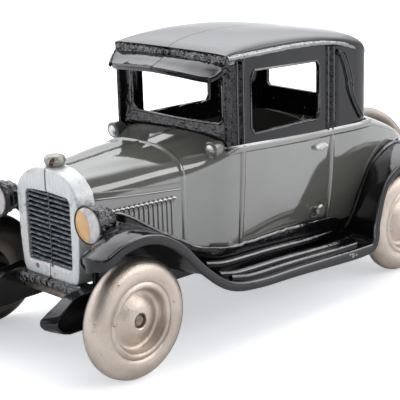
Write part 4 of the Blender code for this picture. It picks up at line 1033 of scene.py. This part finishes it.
bm = bmesh.new()
add_turned(bm, CAP, CAP_FOOT, (0, 0, 1), 48)
split(bm)
for vert in bm.verts:
    if vert.co.z > 69.8:
        push = ripple(*vert.co * 0.7) * 0.3 + ripple(*vert.co * 1.9) * 0.22
        vert.co += (vert.co - CAP_MIDDLE).normalized() * push
        vert.co.z = min(vert.co.z, CAP_TOP)
settle("radiator_cap_casting", bm, cap_finish, "radiator_cap")

bm = bmesh.new()
add_turned(bm, SLOT, (0, 0, 0), (1, 0, 0), 24)
turned = Matrix.Rotation(radians(36), 4, "Z") @ Matrix.Rotation(radians(-22), 4, "X")
flat = Matrix.Diagonal((1, 0.5, 1, 1))
bmesh.ops.transform(bm, matrix=Matrix.Translation(SLOT_AT) @ turned @ flat, verts=bm.verts)
settle("radiator_cap_slot", bm, rust_and_shade_finish)


# Headlamps: ridged black buckets, each on a stay from the radiator. The face is painted silver, with
# a round dab of orange enamel by hand that lies below its middle and to one side.
def lens_finish():
    """Silver lamp face, and the orange dab where the face comes near one of two points."""
    material, shader, place = begin_finish("headlamp_face_paint")
    edge = place.noise(500, 3, 0.6)
    left, right = place.away(7.2, 23.0, 53.2), place.away(7.2, -30.6, 53.2)
    dab = (left.sum("MINIMUM", left, right) + edge * 0.0014).fall(0.0068, 0.0071)
    patch = place.noise(240, 4, 0.6)
    orange = patch.step(0.3, 0.7).dab(rgb(0.72, 0.38, 0.13), rgb(0.66, 0.43, 0.2))
    silver = patch.step(0.35, 0.7).dab(rgb(0.56, 0.54, 0.55), rgb(0.36, 0.33, 0.34))
    feed(shader, Base_Color=dab.dab(silver, orange), Metallic=0.75 - dab * 0.75,
         Roughness=0.34 - dab * 0.12, Coat_Weight=0.3)
    relief(patch * 0.5 + dab * 0.3 + edge * 0.2, 0.00035, shader)
    return material


LAMP_AT = Vector((6.0, 26.8, 54.4))
BUCKET = [(0, -11.3), (2.4, -10.9), (4.2, -9.4), (5.0, -7.8), (5.6, -7.4), (5.3, -6.6), (5.6, -5.0),
          (6.3, -4.6), (6.0, -3.9), (6.4, -2.2), (7.3, -1.7), (7.4, -0.2), (7.15, 0.35), (6.75, 0.35),
          (6.6, -0.5), (0, -0.6)]
LAMP_FACE = [(0, -0.8), (6.5, -0.8), (6.6, -0.3), (6.4, 0.3), (5.4, 0.75), (3.7, 1.15), (1.8, 1.35), (0, 1.4)]
STAY = [(-3.8, 52.9), (-3.8, 57.4), (1.5, 57.4), (1.5, 52.9)]

for bm, side in halves("headlamp_bucket", black_rough, "headlamp"):
    add_turned(bm, BUCKET, LAMP_AT, (1, 0, 0), 48)
    for vert in bm.verts:
        if vert.co.x < LAMP_AT.x - 1.2:
            push = 1 + 0.04 * ripple(*vert.co * Vector((0.8, 0.8 * side, 0.8)))
            vert.co.yz = LAMP_AT.yz + (vert.co - LAMP_AT).yz * push
    add_slab(bm, STAY, 17.2, 22.8)
for bm, _ in halves("headlamp_lens", lens_finish()):
    add_turned(bm, LAMP_FACE, LAMP_AT, (1, 0, 0), 48)

# Cowl lamps: small bulbs cast on the cowl ahead of the windshield posts, painted grey with it, and
# their faces left bright.
BULB_AT, BULB_AIM = (-54.6, 27.6, 69.6), (1, 0, -0.12)
BULB = [(0, -7.2), (1.2, -6.8), (2.4, -5.2), (3.1, -3.0), (3.3, -0.9), (3.4, -0.2), (2.9, 0.25), (2.2, 0.1),
        (0, 0)]
BULB_FACE = [(0, -0.3), (2.3, -0.3), (2.2, 0.35), (1.4, 0.8), (0, 1.0)]
bright_spot = nickel_finish("cowl_lamp_glass", rgb(0.72, 0.74, 0.72), rgb(0.5, 0.52, 0.5), 0.16, -0.1)

for bm, _ in halves("cowl_lamp_bulb", grey_enamel, "cowl_lamp"):
    add_turned(bm, BULB, BULB_AT, BULB_AIM, 32)
for bm, _ in halves("cowl_lamp_lens", bright_spot):
    add_turned(bm, BULB_FACE, BULB_AT, BULB_AIM, 24)


# Axles and the spare wheel's stud: plain steel rods, peened over in the wheel hubs. They keep the
# frame's own meshes, which are round rods already.
def paint(node, finish):
    """Give a piece that keeps its mesh from the frame a finish."""
    materials = frame["nodes"][node].data.materials
    materials.clear()
    materials.append(finish)


steel_finish = mottled_finish("steel_dull", "steel", (400, 4, 0.6), (0.3, 0.7),
                              (rgb(0.36, 0.31, 0.27), rgb(0.2, 0.16, 0.13)), (0.35, 0.25), 0.00018,
                              metal=(0.9, 0.0))
for node in ("axle_front", "axle_rear", "spare_wheel_stud"):
    paint(node, steel_finish)

# Wheels: one-piece nickel-plated castings with a round tyre, a fine groove, a dished web and a domed
# hub; they turn freely on the axles. The spare turns on its stud behind the deck.
WHEEL = [(2.3, -4.9), (6.0, -5.0), (7.5, -1.6), (11.6, -2.6), (13.5, -4.2), (15.2, -4.8), (17, -5),
         (18.9, -4.62), (20.5, -3.54), (21.6, -1.9), (22, 0), (21.75, 1.6), (21.0, 3.0), (19.9, 4.06),
         (18.6, 4.7), (17.2, 4.95), (16, 4.85), (14.9, 4.55), (14.3, 4.3), (14.0, 3.95), (13.75, 4.05),
         (13.5, 4.35), (12.6, 4.5), (12.0, 4.3), (11.6, 3.6), (11.3, 2.3), (10.9, 1.2), (10.3, 0.6),
         (9.4, 0.55), (8.3, 1.1), (7.1, 1.95), (5.7, 2.8), (4.3, 3.3), (3.1, 3.45), (2.75, 3.2),
         (2.7, 1.4), (2.3, 1.35), (2.3, -4.9)]
WHEEL_OUT, SPARE_HEIGHT = 41.9, 38.5
nickel = nickel_finish("nickel_worn", rgb(0.62, 0.54, 0.47), rgb(0.46, 0.385, 0.325), 0.26, 0.03)
# The spare's nickel is a darker, slightly rougher copy of the wheels': its darker colour is painted shade.
spare_nickel_shaded = nickel_finish("nickel_dull_painted_shade", rgb(0.27, 0.24, 0.21), rgb(0.17, 0.145, 0.125), 0.3, 0.02)


def cast_wheel(name, node, centre, axis, finish):
    bm = bmesh.new()
    add_turned(bm, WHEEL, centre, axis, 96)
    settle(name, bm, finish, node, node)


for end, x in (("front", 0), ("rear", -WHEELBASE)):
    for hand, side in (("left", 1), ("right", -1)):
        centre = (x, side * WHEEL_OUT, TYRE)
        cast_wheel(f"cast_wheel_{end}_{hand}", f"wheel_{end}_{hand}", centre, (0, side, 0), nickel)
spare_x = (axle_at["spare_wheel_turn"].x - front_axle.x) / MM
cast_wheel("cast_spare_wheel", "spare_wheel", (spare_x, 0, SPARE_HEIGHT), (-1, 0, 0), spare_nickel_shaded)

# Cross rivets: soft iron pins that clamp the halves, peened over at both ends and painted with the
# castings. The pins keep the frame's meshes, and the body rivet gets its uneven heads.
RIVET_X, RIVET_Z = -113.4, 33.0
RIVET_HEAD = [(0, -1.0), (3.3, -1.0), (3.3, 0.1), (2.7, 0.6), (2.0, 0.35), (1.2, 0.75), (0, 0.8)]
paint("body_rivet", grey_enamel)
paint("frame_rivet", black_rough)
for bm, side in halves("rivet_head", grey_enamel):
    add_turned(bm, RIVET_HEAD, (RIVET_X, side_y(RIVET_X, RIVET_Z), RIVET_Z), (0, 1, 0), 28)
    split(bm)
    for vert in bm.verts:
        vert.co += Vector((1, 0, 1)) * ripple(*vert.co * Vector((0.6, 0.6 * side, 0.6))) * 0.7
        vert.co.y += ripple(*vert.co * Vector((1.1, 1.1 * side, 1.1))) * 0.35
